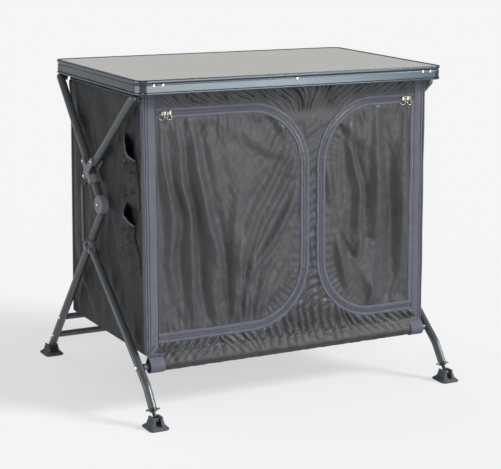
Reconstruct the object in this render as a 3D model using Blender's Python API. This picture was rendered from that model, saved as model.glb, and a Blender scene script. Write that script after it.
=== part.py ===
"""Folding camp kitchen cupboard: worktop, two folding tube frames and a hung fabric cabinet.

Frame: X to the right, the doors face -Y, Z up. The origin is on the floor under the middle.
Side view coordinates are (y, z). The left side has side = -1, the right side has side = +1.
"""
import math

import bmesh
import bpy
from mathutils import Vector

# Gaps and cuts
CLEAR = 0.0003
RUN_GAP = 0.0005
OVERRUN = 0.002

# Overall
WIDTH = 0.840
DEPTH = 0.510
HEIGHT = 0.800

# Worktop and its edge profile
EDGE_HEIGHT = 0.034
EDGE_DEPTH = 0.022
EDGE_WALL = 0.0022
EDGE_LIP = 0.0060
LIP_THICK = 0.0014
BEAD_HEIGHT = 0.0060
BEAD_OUT = 0.0014
GROOVE_HEIGHT = 0.0014
GROOVE_DEPTH = 0.0012
CORNER_RADIUS = 0.025
BOARD_THICK = 0.010
CORNER_STEPS = 6
BEAD_STEPS = 4

# Tubes and the side frames, all in the plane x = side * TUBE_X
TUBE_RADIUS = 0.010
TUBE_X = WIDTH / 2 - TUBE_RADIUS
TUBE_SIDES = 20
FIRST_RING_SHARE = 0.35
PIVOT_DROP = 0.0005
REAR_PIVOT_INSET = 0.019
FRONT_PIN_INSET = 0.047
REAR_PIVOT_Y = DEPTH / 2 - REAR_PIVOT_INSET
FRONT_PIN_Y = DEPTH / 2 - FRONT_PIN_INSET
KNEE_Y = -0.020
KNEE_HEIGHT_SHARE = 0.59125
KNEE_Z = HEIGHT * KNEE_HEIGHT_SHARE
FOOT_OVERHANG = 0.075
FOOT_Y = DEPTH / 2 + FOOT_OVERHANG
FOOT_PIN_Z = 0.0195
UPPER_OFFSET = 0.0026
LOWER_OFFSET = 0.0147
PIN_RADIUS = 0.004
RIVET_RADIUS = 0.003
RIVET_HEAD_RADIUS = 0.0055
RIVET_HEAD = 0.0014

# Brackets under the worktop
BRACKET_THICK = 0.004
BRACKET_WIDTH = 0.036
BRACKET_TIP = 0.0085
PIN_DEPTH = 0.014

# Star hub on the rear upper tube
PLATE_THICK = 0.003
HUB_STATION_SHARE = 0.747
HUB_ARM_UP = 0.030
HUB_ARM_DOWN = 0.028
HUB_ARM_FRONT = 0.043
HUB_ARM_REAR = 0.021
HUB_TIP = 0.0085
HUB_WAIST = 0.0135
COLLAR_WALL = 0.0035
COLLAR_LENGTH = 0.022
FRONT_TUBE_TAIL = 0.011

# Knee joint
KNEE_RADIUS = 0.0235
KNEE_CHAMFER = 0.0015
KNEE_HALF = 0.0102
KNEE_SIDES = 28
BORE_RADIUS = 0.0084
NECK_START = 0.012
NECK_LENGTH = 0.034
KNEE_HEAD = 0.0018
KNEE_HEAD_RADIUS = 0.0065

# Leg bracket, its tongue and stud
BRACKET_STATION_SHARE = 0.234
SLEEVE_WALL = 0.0020
SLEEVE_LENGTH = 0.036
LEG_OFFSET = 0.0235
TONGUE_THICK = 0.006
TONGUE_TIP = 0.0080
SLOT_DEPTH = 0.0125
STUD_RADIUS = 0.003
STUD_HEAD_RADIUS = 0.0055
STUD_HEAD = 0.0016

# Front leg
BEND_INSET = 0.049
BEND_Y = BEND_INSET - FOOT_Y
BEND_Z = 0.088
BEND_RADIUS = 0.060
BEND_STEPS = 5
LEG_END = 0.028

# Stay rod
STAY_RADIUS = 0.004
STAY_OUT = 0.0172
STAY_X = TUBE_X + STAY_OUT
EYE_RADIUS = 0.0062
EYE_THICK = 0.006
JOG_START = 0.0095
JOG_END = 0.027
STAY_SIDES = 10
HOOK_WIDTH = 0.022
HOOK_LENGTH = 0.026
HOOK_THICK = 0.0028
HOOK_MOUTH = math.radians(20)
HOOK_X = TUBE_X + TUBE_RADIUS + CLEAR + SLEEVE_WALL + RUN_GAP

# Cross tubes
CROSS_RADIUS = 0.008
FRONT_CROSS_SHARE = 0.15125
REAR_CROSS_UPPER_SHARE = 0.15375
REAR_CROSS_LOWER_SHARE = 0.0775
FRONT_CROSS_Z = HEIGHT * FRONT_CROSS_SHARE
REAR_CROSS_UPPER_Z = HEIGHT * REAR_CROSS_UPPER_SHARE
REAR_CROSS_LOWER_Z = HEIGHT * REAR_CROSS_LOWER_SHARE

# Feet
PAD_WIDTH = 0.050
PAD_LENGTH = 0.058
PAD_THICK = 0.004
PAD_HEIGHT = 0.028
PAD_NECK_WIDTH = 0.029
PAD_NECK_LENGTH = 0.029
PAD_SHOULDER_WIDTH = 0.036
PAD_SHOULDER_LENGTH = 0.038
PAD_SHOULDER_Z = 0.011
PAD_CORNER = 0.010
PAD_FLOOR_Z = 0.0080
FOOT_PIN_RADIUS = 0.0025
STEM_RADIUS = 0.0045
STEM_EYE_RADIUS = 0.0090
STEM_EYE_WIDTH = 0.014
STEM_SINK = 0.030
NUT_RADIUS = 0.0095
NUT_THICK = 0.006
WING_REACH = 0.017
WING_WIDTH = 0.007
WING_THICK = 0.003

# Fabric cabinet
FABRIC_SIDE_INSET = 0.032
FABRIC_REAR_INSET = 0.037
FABRIC_FRONT_INSET = 0.040
FABRIC_HALF = WIDTH / 2 - FABRIC_SIDE_INSET
FABRIC_REAR_Y = DEPTH / 2 - FABRIC_REAR_INSET
FABRIC_FRONT_Y = FABRIC_FRONT_INSET - DEPTH / 2
FABRIC_LEAN_SHARE = 0.035
FABRIC_TOP_DROP = 0.020
FABRIC_BOTTOM_SHARE = 0.18
FABRIC_TOP_Z = HEIGHT - FABRIC_TOP_DROP
FABRIC_BOTTOM_Z = HEIGHT * FABRIC_BOTTOM_SHARE
CLOTH = 0.0016
RAIL_THICK = 0.010
RAIL_HEIGHT = 0.020
FLOOR_RISE = 0.004
SHELF_SHARE = 0.56875
SHELF_Z = HEIGHT * SHELF_SHARE
SHELF_THICK = 0.0025
DIVIDER_SHARE = 0.1625
DIVIDER_X = FABRIC_HALF * DIVIDER_SHARE
NOTCH_LENGTH = 0.088
NOTCH_Y = FABRIC_REAR_Y - NOTCH_LENGTH
BRACE_WIDTH = 0.030
BRACE_THICK = 0.006
TAPE_WIDTH = 0.030

# Doors and their zips
ZIP_TOP_DROP = 0.062
ZIP_BOTTOM_RISE = 0.040
ZIP_TOP_Z = FABRIC_TOP_Z - ZIP_TOP_DROP
ZIP_BOTTOM_Z = FABRIC_BOTTOM_Z + ZIP_BOTTOM_RISE
ZIP_CORNER = 0.150
ZIP_CORNER_STEPS = 8
LEFT_ZIP_SPACE = 0.022
RIGHT_ZIP_SPACE = 0.024
LEFT_ZIP_INNER_X = DIVIDER_X - LEFT_ZIP_SPACE
RIGHT_ZIP_INNER_X = DIVIDER_X + RIGHT_ZIP_SPACE
DOOR_HINGE_X = FABRIC_HALF - TAPE_WIDTH
DOOR_GAP = 0.0010

# Zip sliders and ring pulls
SLIDER_LENGTH = 0.014
SLIDER_WIDTH = 0.010
SLIDER_THICK = 0.0030
SLIDER_NOSE = 0.0025
SLIDER_FIRST = 0.018
SLIDER_PITCH = 0.0135
BRIDGE_HALF = 0.0015
BRIDGE_REACH = 0.0034
BRIDGE_THICK = 0.0010
PULL_DROP = 0.020
PULL_WIDTH = 0.0120
PULL_TURN = 0.0030
PULL_WIRE = 0.0018
PULL_SIDES = 6

# Hem round the front cross tube
HEM_RADIUS = 0.0125
HEM_WALL = 0.0020
HEM_STEPS = 24
HEM_SPLIT = math.radians(4)

# Side pockets on the left panel
POCKET_INSET = 0.015
POCKET_FRONT_Y = FABRIC_FRONT_Y + POCKET_INSET
POCKET_WIDTH = 0.115
POCKET_BULGE = 0.018
POCKET_LIFT = 0.0008
UPPER_MOUTH_SHARE = 0.795
LOWER_MOUTH_SHARE = 0.6
POCKET_HEIGHT_SHARE = 0.19
UPPER_MOUTH_Z = HEIGHT * UPPER_MOUTH_SHARE
LOWER_MOUTH_Z = HEIGHT * LOWER_MOUTH_SHARE
POCKET_HEIGHT = HEIGHT * POCKET_HEIGHT_SHARE
MOUTH_FALL = 0.045
BULGE_POWER = 0.6
POCKET_COLUMNS = 10
POCKET_ROWS = 8


def heading(angle):
    return Vector((math.cos(angle), math.sin(angle)))


def turned(v, angle):
    c, s = math.cos(angle), math.sin(angle)
    return Vector((c * v.x - s * v.y, s * v.x + c * v.y))


def left_of(v):
    return Vector((-v.y, v.x))


def in_side(x, p):
    return Vector((x, p.x, p.y))


def lean_y(z):
    return FABRIC_FRONT_Y - (FABRIC_TOP_Z - z) * FABRIC_LEAN_SHARE


# Pivot points of a side frame, as (y, z)
EDGE_BOTTOM_Z = HEIGHT - EDGE_HEIGHT
PIVOT_Z = EDGE_BOTTOM_Z - TUBE_RADIUS - PIVOT_DROP
REAR_TOP = Vector((REAR_PIVOT_Y, PIVOT_Z))
FRONT_TOP = Vector((-FRONT_PIN_Y, PIVOT_Z))
KNEE = Vector((KNEE_Y, KNEE_Z))
REAR_FOOT = Vector((FOOT_Y, FOOT_PIN_Z))
FRONT_FOOT = Vector((-FOOT_Y, FOOT_PIN_Z))

UPPER_REACH = KNEE - REAR_TOP
UPPER_DIR = turned(UPPER_REACH.normalized(), -math.asin(UPPER_OFFSET / UPPER_REACH.length))
UPPER_NORMAL = left_of(UPPER_DIR)
UPPER_END = REAR_TOP + UPPER_DIR * UPPER_REACH.dot(UPPER_DIR)

LOWER_REACH = REAR_FOOT - KNEE
LOWER_DIR = turned(LOWER_REACH.normalized(), math.asin(LOWER_OFFSET / LOWER_REACH.length))
LOWER_NORMAL = left_of(LOWER_DIR)
LOWER_START = KNEE - LOWER_NORMAL * LOWER_OFFSET

HUB_CENTRE = REAR_TOP + UPPER_DIR * (UPPER_REACH.length * HUB_STATION_SHARE)
HUB_TOP = HUB_CENTRE - UPPER_DIR * HUB_ARM_UP
HUB_GRIP = HUB_CENTRE + UPPER_DIR * HUB_ARM_DOWN
HUB_FRONT = HUB_CENTRE - UPPER_NORMAL * HUB_ARM_FRONT
HUB_REAR = HUB_CENTRE + UPPER_NORMAL * HUB_ARM_REAR
FRONT_TUBE_DIR = (FRONT_TOP - HUB_FRONT).normalized()

STUD = LOWER_START + LOWER_DIR * (LOWER_REACH.length * BRACKET_STATION_SHARE)
LEG_PIVOT = STUD - LOWER_NORMAL * LEG_OFFSET
BEND = Vector((BEND_Y, BEND_Z))
LEG_DIR = (BEND - LEG_PIVOT).normalized()
LEG_END_DIR = (FRONT_FOOT - BEND).normalized()
LEG_TIP = FRONT_FOOT - LEG_END_DIR * LEG_END
STAY_DIR = (STUD - HUB_REAR).normalized()
STAY_LENGTH = (STUD - HUB_REAR).length


def along(origin, direction, z):
    return origin + direction * ((z - origin.y) / direction.y)


FRONT_CROSS = along(LEG_PIVOT, LEG_DIR, FRONT_CROSS_Z)
REAR_CROSS_UPPER = along(LOWER_START, LOWER_DIR, REAR_CROSS_UPPER_Z)
REAR_CROSS_LOWER = along(LOWER_START, LOWER_DIR, REAR_CROSS_LOWER_Z)

# Finishes: colour, roughness, metallic
ALUMINIUM = ((0.20, 0.23, 0.25), 0.35, 0.9)
TUBE_GREY = ((0.09, 0.11, 0.12), 0.40, 0.7)
CAST_GREY = ((0.15, 0.16, 0.18), 0.55, 0.2)
PLAIN_STEEL = ((0.60, 0.60, 0.60), 0.30, 1.0)
BLACK_PLASTIC = ((0.02, 0.02, 0.02), 0.50, 0.0)
FOOT_GREY = ((0.07, 0.085, 0.095), 0.60, 0.0)
LAMINATE = ((0.48, 0.47, 0.46), 0.45, 0.0)
CHARCOAL = ((0.07, 0.07, 0.08), 0.80, 0.0)


def clear_scene():
    for thing in list(bpy.data.objects):
        bpy.data.objects.remove(thing, do_unlink=True)


def finished(name, bm, finish=None, smooth=None):
    """Turn a bmesh into an object with its own material."""
    bmesh.ops.recalc_face_normals(bm, faces=bm.faces)
    mesh = bpy.data.meshes.new(name)
    bm.to_mesh(mesh)
    bm.free()
    thing = bpy.data.objects.new(name, mesh)
    bpy.context.collection.objects.link(thing)
    if smooth:
        mesh.shade_smooth()
        mesh.set_sharp_from_angle(angle=math.radians(smooth))
    if finish:
        paint(thing, finish)
    return thing


def paint(thing, finish):
    colour, roughness, metallic = finish
    material = bpy.data.materials.new(thing.name)
    material.use_nodes = True
    shader = material.node_tree.nodes["Principled BSDF"]
    shader.inputs["Base Color"].default_value = (*colour, 1)
    shader.inputs["Roughness"].default_value = roughness
    shader.inputs["Metallic"].default_value = metallic
    thing.data.materials.append(material)


def boolean(target, tool, operation):
    modifier = target.modifiers.new(tool.name, "BOOLEAN")
    modifier.operation = operation
    modifier.solver = "EXACT"
    modifier.object = tool
    tool.hide_render = True
    tool.display_type = "WIRE"


def cut(target, tool):
    boolean(target, tool, "DIFFERENCE")


def fuse(target, tool):
    boolean(target, tool, "UNION")


def add_loft(bm, rings):
    loops = [[bm.verts.new(p) for p in ring] for ring in rings]
    for low, high in zip(loops, loops[1:]):
        for i in range(len(low)):
            j = (i + 1) % len(low)
            bm.faces.new((low[i], low[j], high[j], high[i]))
    bm.faces.new(loops[0])
    bm.faces.new(loops[-1])


def loft(name, rings, finish=None, smooth=None):
    """A closed body through rings of points."""
    bm = bmesh.new()
    add_loft(bm, rings)
    return finished(name, bm, finish, smooth)


def box_rings(low, high):
    outline = [(low[0], low[1]), (high[0], low[1]), (high[0], high[1]), (low[0], high[1])]
    return [[Vector((x, y, z)) for x, y in outline] for z in (low[2], high[2])]


def box(name, low, high, finish=None):
    return loft(name, box_rings(low, high), finish)


def side_rings(outline, x0, x1):
    return [[in_side(x, p) for p in outline] for x in (x0, x1)]


def arc(centre, radius, start, end, steps):
    return [centre + heading(start + (end - start) * i / steps) * radius for i in range(steps + 1)]


def disc_rings(centre, radius, x0, x1, sides=TUBE_SIDES):
    outline = [centre + heading(2 * math.pi * i / sides) * radius for i in range(sides)]
    return side_rings(outline, x0, x1)


def disc(name, centre, radius, x0, x1, finish=None, sides=TUBE_SIDES):
    """A round bar along X, centred on a side view point."""
    return loft(name, disc_rings(centre, radius, x0, x1, sides), finish, smooth=40)


def pipe_rings(points, radius, sides=TUBE_SIDES):
    """Rings square to a path."""
    rings = []
    across = Vector((1, 0, 0))
    for i, p in enumerate(points):
        before = points[max(i - 1, 0)]
        after = points[min(i + 1, len(points) - 1)]
        tangent = (after - before).normalized()
        across = (across - tangent * across.dot(tangent)).normalized()
        up = tangent.cross(across)
        ring = []
        for k in range(sides):
            turn = 2 * math.pi * k / sides
            ring.append(p + (across * math.cos(turn) + up * math.sin(turn)) * radius)
        rings.append(ring)
    return rings


def pipe(name, points, radius, finish=None, sides=TUBE_SIDES):
    return loft(name, pipe_rings(points, radius, sides), finish, smooth=40)


def round_end_rings(side, start, end, radius):
    """A straight tube in a side plane whose start is rounded about the start point."""
    direction = (end - start).normalized()
    steps = 4
    points = []
    radii = []
    for i in range(steps):
        turn = math.pi / 2 * (i + FIRST_RING_SHARE) / steps
        points.append(start - direction * radius * math.cos(turn))
        radii.append(radius * math.sin(turn))
    points += [start, end]
    radii += [radius, radius]
    centre_line = [in_side(side * TUBE_X, p) for p in points]
    rings = pipe_rings(centre_line, radius)
    for ring, centre, r in zip(rings, centre_line, radii):
        for i, p in enumerate(ring):
            ring[i] = centre + (p - centre) * (r / radius)
    return rings


def side_name(side):
    return "left" if side < 0 else "right"


def xs(side, low, high):
    """Two x values on one side, from |x| values."""
    return side * low, side * high


def rounded_rectangle(half_x, half_y, radius, steps):
    points = []
    for k, (sx, sy) in enumerate(((1, 1), (-1, 1), (-1, -1), (1, -1))):
        centre = Vector((sx * (half_x - radius), sy * (half_y - radius)))
        start = k * math.pi / 2
        points += arc(centre, radius, start, start + math.pi / 2, steps)
    return points


# Worktop

def edge_outline():
    """Edge profile section as (inward, up) from its lower outer corner."""
    band = BEAD_OUT
    floor = BEAD_OUT + GROOVE_DEPTH
    inner = floor + EDGE_WALL
    shelf = EDGE_HEIGHT - LIP_THICK - CLEAR - BOARD_THICK - CLEAR
    top_bead = EDGE_HEIGHT - BEAD_HEIGHT

    def bead(base):
        points = []
        for i in range(BEAD_STEPS + 1):
            turn = math.pi * i / BEAD_STEPS
            points.append((band - BEAD_OUT * math.sin(turn),
                           base + BEAD_HEIGHT / 2 * (1 - math.cos(turn))))
        return points

    outline = bead(0)
    outline += [(floor, BEAD_HEIGHT), (floor, BEAD_HEIGHT + GROOVE_HEIGHT)]
    outline += [(band, BEAD_HEIGHT + GROOVE_HEIGHT), (band, top_bead - GROOVE_HEIGHT)]
    outline += [(floor, top_bead - GROOVE_HEIGHT), (floor, top_bead)]
    outline += bead(top_bead)
    outline += [(EDGE_LIP, EDGE_HEIGHT), (EDGE_LIP, EDGE_HEIGHT - LIP_THICK)]
    outline += [(inner, EDGE_HEIGHT - LIP_THICK), (inner, shelf), (EDGE_DEPTH, shelf)]
    outline += [(EDGE_DEPTH, shelf - EDGE_WALL), (inner, shelf - EDGE_WALL), (inner, EDGE_WALL)]
    outline += [(EDGE_DEPTH, EDGE_WALL), (EDGE_DEPTH, 0)]
    return outline


def make_edges():
    outline = edge_outline()
    half_x = WIDTH / 2
    half_y = DEPTH / 2
    run_x = half_x - CORNER_RADIUS - CLEAR
    run_y = half_y - CORNER_RADIUS - CLEAR
    for name, sign in (("edge_front", -1), ("edge_rear", 1)):
        rings = [[Vector((x, sign * (half_y - t), EDGE_BOTTOM_Z + z)) for t, z in outline]
                 for x in (-run_x, run_x)]
        loft(name, rings, ALUMINIUM, smooth=35)
    for name, sign in (("edge_left", -1), ("edge_right", 1)):
        rings = [[Vector((sign * (half_x - t), y, EDGE_BOTTOM_Z + z)) for t, z in outline]
                 for y in (-run_y, run_y)]
        loft(name, rings, ALUMINIUM, smooth=35)
    names = ("rear_right", "rear_left", "front_left", "front_right")
    for k, (sx, sy) in enumerate(((1, 1), (-1, 1), (-1, -1), (1, -1))):
        centre = Vector((sx * (half_x - CORNER_RADIUS), sy * (half_y - CORNER_RADIUS)))
        rings = []
        for i in range(CORNER_STEPS + 1):
            out = heading(k * math.pi / 2 + math.pi / 2 * i / CORNER_STEPS)
            rings.append([Vector((*(centre + out * (CORNER_RADIUS - t)), EDGE_BOTTOM_Z + z))
                          for t, z in outline])
        loft("edge_corner_" + names[k], rings, ALUMINIUM, smooth=35)


BOARD_TOP_Z = HEIGHT - LIP_THICK - CLEAR
BOARD_UNDER_Z = BOARD_TOP_Z - BOARD_THICK
EDGE_INNER = BEAD_OUT + GROOVE_DEPTH + EDGE_WALL


def make_board():
    inset = EDGE_INNER + CLEAR
    outline = rounded_rectangle(WIDTH / 2 - inset, DEPTH / 2 - inset,
                                CORNER_RADIUS - inset, CORNER_STEPS)
    rings = [[Vector((p.x, p.y, z)) for p in outline] for z in (BOARD_UNDER_Z, BOARD_TOP_Z)]
    loft("worktop_board", rings, LAMINATE)


RAIL_TOP_Z = BOARD_UNDER_Z - CLEAR
RAIL_HALF = FABRIC_HALF - CLOTH - CLEAR
RAIL_REAR_Y = FABRIC_REAR_Y - CLOTH - CLEAR
RAIL_FRONT_Y = FABRIC_FRONT_Y + CLOTH + CLEAR


def make_under_frame():
    """The rail that the fabric is fastened to, and the brace under the board."""
    low_z = RAIL_TOP_Z - RAIL_HEIGHT
    loft("fabric_rail", box_rings((-RAIL_HALF, RAIL_FRONT_Y, low_z),
                                  (RAIL_HALF, RAIL_REAR_Y, RAIL_TOP_Z)), BLACK_PLASTIC)
    inside = box("rail_inside",
                 (-RAIL_HALF + RAIL_THICK, RAIL_FRONT_Y + RAIL_THICK, low_z - OVERRUN),
                 (RAIL_HALF - RAIL_THICK, RAIL_REAR_Y - RAIL_THICK, RAIL_TOP_Z + OVERRUN))
    cut(bpy.data.objects["fabric_rail"], inside)
    box("under_brace",
        (DIVIDER_X - BRACE_WIDTH / 2, RAIL_FRONT_Y + RAIL_THICK + CLEAR, RAIL_TOP_Z - BRACE_THICK),
        (DIVIDER_X + BRACE_WIDTH / 2, RAIL_REAR_Y - RAIL_THICK - CLEAR, RAIL_TOP_Z), ALUMINIUM)


BRACKET_OUT = WIDTH / 2 - EDGE_DEPTH - CLEAR
BRACKET_IN = BRACKET_OUT - BRACKET_THICK


def tab_outline(pivot):
    """Plate inside the edge profile, hanging from the board, its lower end rounded about a pivot."""
    limit = DEPTH / 2 - CORNER_RADIUS - CLEAR
    low_y = limit - BRACKET_WIDTH if pivot.x > 0 else -limit
    high_y = low_y + BRACKET_WIDTH
    shoulder = EDGE_BOTTOM_Z - PIVOT_DROP
    outline = [Vector((low_y, RAIL_TOP_Z)), Vector((low_y, shoulder))]
    outline += arc(pivot, BRACKET_TIP, math.pi, 2 * math.pi, 6)
    if pivot.x + BRACKET_TIP > high_y:
        outline.append(Vector((pivot.x + BRACKET_TIP, shoulder)))
    return outline + [Vector((high_y, shoulder)), Vector((high_y, RAIL_TOP_Z))]


def make_brackets(side):
    """Rear pivot bracket with its pin, and the front catch with a slot that opens forward."""
    word = side_name(side)
    plate = xs(side, BRACKET_IN, BRACKET_OUT)
    rear = loft("rear_bracket_" + word, side_rings(tab_outline(REAR_TOP), *plate), CAST_GREY)
    fuse(rear, disc("rear_bracket_pin_" + word, REAR_TOP, PIN_RADIUS,
                    *xs(side, BRACKET_OUT - OVERRUN, pin_end()), sides=12))
    front = loft("front_catch_" + word, side_rings(tab_outline(FRONT_TOP), *plate), CAST_GREY)
    fit = PIN_RADIUS + RUN_GAP
    slot = [FRONT_TOP + Vector((-BRACKET_WIDTH, -fit - PIN_RADIUS))]
    slot += arc(FRONT_TOP, fit, -math.pi / 2, math.pi / 2, 6)
    slot += [FRONT_TOP + Vector((-BRACKET_WIDTH, fit))]
    cut(front, loft("front_catch_slot_" + word,
                    side_rings(slot, *xs(side, BRACKET_IN - OVERRUN, BRACKET_OUT + OVERRUN))))


def pin_end():
    return TUBE_X - TUBE_RADIUS + PIN_DEPTH


# Side frames

PLATE_GAP = TUBE_RADIUS + RUN_GAP


def through_tube(side):
    """Two x values that reach past both faces of a side tube."""
    reach = TUBE_RADIUS + OVERRUN
    return xs(side, TUBE_X - reach, TUBE_X + reach)


def make_rear_upper_tube(side):
    tube = loft("rear_upper_tube_" + side_name(side),
                round_end_rings(side, REAR_TOP, UPPER_END, TUBE_RADIUS), TUBE_GREY, smooth=40)
    cut(tube, disc("cope_upper_" + side_name(side), KNEE, KNEE_RADIUS + RUN_GAP,
                   *through_tube(side), sides=KNEE_SIDES))
    cut(tube, disc("top_hole_upper_" + side_name(side), REAR_TOP, PIN_RADIUS + CLEAR,
                   *xs(side, BRACKET_OUT, pin_end() + CLEAR), sides=12))
    cut(tube, disc("rivet_hole_upper_" + side_name(side), HUB_TOP, RIVET_RADIUS + CLEAR,
                   *xs(side, BRACKET_OUT, WIDTH / 2 + OVERRUN), sides=10))
    bore = pipe("bore_upper_" + side_name(side),
                [in_side(side * TUBE_X, UPPER_END - UPPER_DIR * (KNEE_RADIUS + NECK_LENGTH)),
                 in_side(side * TUBE_X, UPPER_END + UPPER_DIR * OVERRUN)], BORE_RADIUS + CLEAR)
    cut(tube, bore)
    return tube


def knee_half(name, side, origin, direction, near, far):
    """Half of the knee drum with the neck that plugs into its tube."""
    out = 1 if near else -1
    rim = KNEE_RADIUS - KNEE_CHAMFER
    stack = [(CLEAR, KNEE_RADIUS), (KNEE_HALF - KNEE_CHAMFER, KNEE_RADIUS), (KNEE_HALF, rim)]
    turns = [2 * math.pi * i / KNEE_SIDES for i in range(KNEE_SIDES)]
    rings = [[in_side(side * (TUBE_X + out * x), KNEE + heading(turn) * r) for turn in turns]
             for x, r in stack]
    half = loft(name, rings, CAST_GREY, smooth=35)
    neck = pipe("neck_of_" + name,
                [in_side(side * TUBE_X, origin + direction * NECK_START),
                 in_side(side * TUBE_X, origin + direction * (KNEE_RADIUS + far))],
                BORE_RADIUS, sides=16)
    room = xs(side, TUBE_X + out * CLEAR, TUBE_X - out * (KNEE_HALF + OVERRUN))
    cut(neck, disc("room_for_" + name, KNEE, KNEE_RADIUS + RUN_GAP, *room, sides=KNEE_SIDES))
    fuse(half, neck)
    return half


def make_knee_upper(side):
    name = "knee_upper_" + side_name(side)
    half = knee_half(name, side, UPPER_END, -UPPER_DIR, True, NECK_LENGTH - CLEAR)
    inner_face = TUBE_X - KNEE_HALF - CLEAR
    outer_face = TUBE_X + KNEE_HALF
    fuse(half, disc("pin_of_" + name, KNEE, PIN_RADIUS,
                    *xs(side, inner_face, TUBE_X + OVERRUN), sides=12))
    fuse(half, disc("head_of_" + name, KNEE, KNEE_HEAD_RADIUS,
                    *xs(side, inner_face - KNEE_HEAD, inner_face), sides=16))
    fuse(half, disc("face_of_" + name, KNEE, RIVET_HEAD_RADIUS,
                    *xs(side, outer_face - OVERRUN, outer_face + RIVET_HEAD), sides=16))
    return half


def make_knee_lower(side):
    name = "knee_lower_" + side_name(side)
    half = knee_half(name, side, LOWER_START, LOWER_DIR, False, NECK_LENGTH - CLEAR)
    cut(half, disc("hole_of_" + name, KNEE, PIN_RADIUS + CLEAR,
                   *xs(side, TUBE_X - KNEE_HALF - OVERRUN, TUBE_X + OVERRUN), sides=12))
    return half


def make_rear_leg_tube(side):
    start = LOWER_START + LOWER_DIR * NECK_START
    tube = loft("rear_leg_tube_" + side_name(side),
                round_end_rings(side, REAR_FOOT, start, TUBE_RADIUS), TUBE_GREY, smooth=40)
    cut(tube, disc("cope_lower_" + side_name(side), KNEE, KNEE_RADIUS + RUN_GAP,
                   *through_tube(side), sides=KNEE_SIDES))
    cut(tube, pipe("bore_lower_" + side_name(side),
                   [in_side(side * TUBE_X, start - LOWER_DIR * OVERRUN),
                    in_side(side * TUBE_X, LOWER_START + LOWER_DIR * (KNEE_RADIUS + NECK_LENGTH))],
                   BORE_RADIUS + CLEAR))
    cut(tube, disc("pin_hole_rear_" + side_name(side), REAR_FOOT, FOOT_PIN_RADIUS + CLEAR,
                   *through_tube(side), sides=10))
    return tube


def hub_outline():
    """Star of four rounded arms with hollow waists between them."""
    tips = [HUB_TOP, HUB_FRONT, HUB_GRIP, HUB_REAR]
    points = []
    for i, tip in enumerate(tips):
        out = (tip - HUB_CENTRE).normalized()
        away = math.atan2(out.y, out.x)
        points += arc(tip, HUB_TIP, away - math.pi / 2, away + math.pi / 2, 6)
        after = (tips[(i + 1) % 4] - HUB_CENTRE).normalized()
        points.append(HUB_CENTRE + (out + after).normalized() * HUB_WAIST)
    return points


def collar_rings(side):
    """Saddle between the plates that hugs the front half of the rear upper tube."""
    inner = TUBE_RADIUS + CLEAR
    outer = inner + COLLAR_WALL
    limit = math.asin((PLATE_GAP + CLEAR) / outer)
    steps = 8
    rings = []
    for s in (-COLLAR_LENGTH / 2, COLLAR_LENGTH / 2):
        centre = HUB_GRIP + UPPER_DIR * s
        ring = []
        for radius, sign in ((outer, 1), (inner, -1)):
            for i in range(steps + 1):
                turn = sign * (2 * limit * i / steps - limit)
                p = centre - UPPER_NORMAL * radius * math.cos(turn)
                ring.append(in_side(side * TUBE_X + radius * math.sin(turn), p))
        rings.append(ring)
    return rings


def make_hub(side):
    """Two star plates held apart by a collar, with the three rivets that pass through both."""
    name = "hub_" + side_name(side)
    outline = hub_outline()
    near, far = PLATE_GAP, PLATE_GAP + PLATE_THICK
    outer = side_rings(outline, *xs(side, TUBE_X + near, TUBE_X + far))
    inner = side_rings(outline, *xs(side, TUBE_X - far, TUBE_X - near))
    hub = loft(name, outer, CAST_GREY, smooth=35)
    fuse(hub, loft("inner_plate_" + name, inner))
    fuse(hub, loft("collar_" + name, collar_rings(side), smooth=35))
    for word, p in (("top", HUB_TOP), ("front", HUB_FRONT), ("rear", HUB_REAR)):
        fuse(hub, loft("rivet_" + word + "_" + name, rivet_rings(side, p)))


def rivet_rings(side, p):
    """A rivet through both hub plates, from head to head."""
    seat = PLATE_GAP + PLATE_THICK - CLEAR
    head = seat + CLEAR + RIVET_HEAD
    stack = [(-head, RIVET_HEAD_RADIUS), (-seat, RIVET_HEAD_RADIUS), (-seat, RIVET_RADIUS),
             (seat, RIVET_RADIUS), (seat, RIVET_HEAD_RADIUS), (head, RIVET_HEAD_RADIUS)]
    turns = [2 * math.pi * i / 10 for i in range(10)]
    return [[in_side(side * (TUBE_X + x), p + heading(turn) * r) for turn in turns]
            for x, r in stack]


def make_front_upper_tube(side):
    end = HUB_FRONT - FRONT_TUBE_DIR * FRONT_TUBE_TAIL
    tube = loft("front_upper_tube_" + side_name(side),
                round_end_rings(side, FRONT_TOP, end, TUBE_RADIUS), TUBE_GREY, smooth=40)
    cut(tube, disc("hub_hole_front_" + side_name(side), HUB_FRONT, RIVET_RADIUS + CLEAR,
                   *through_tube(side), sides=10))
    fuse(tube, disc("catch_pin_" + side_name(side), FRONT_TOP, PIN_RADIUS,
                    *xs(side, BRACKET_IN, TUBE_X), sides=12))
    return tube


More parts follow.
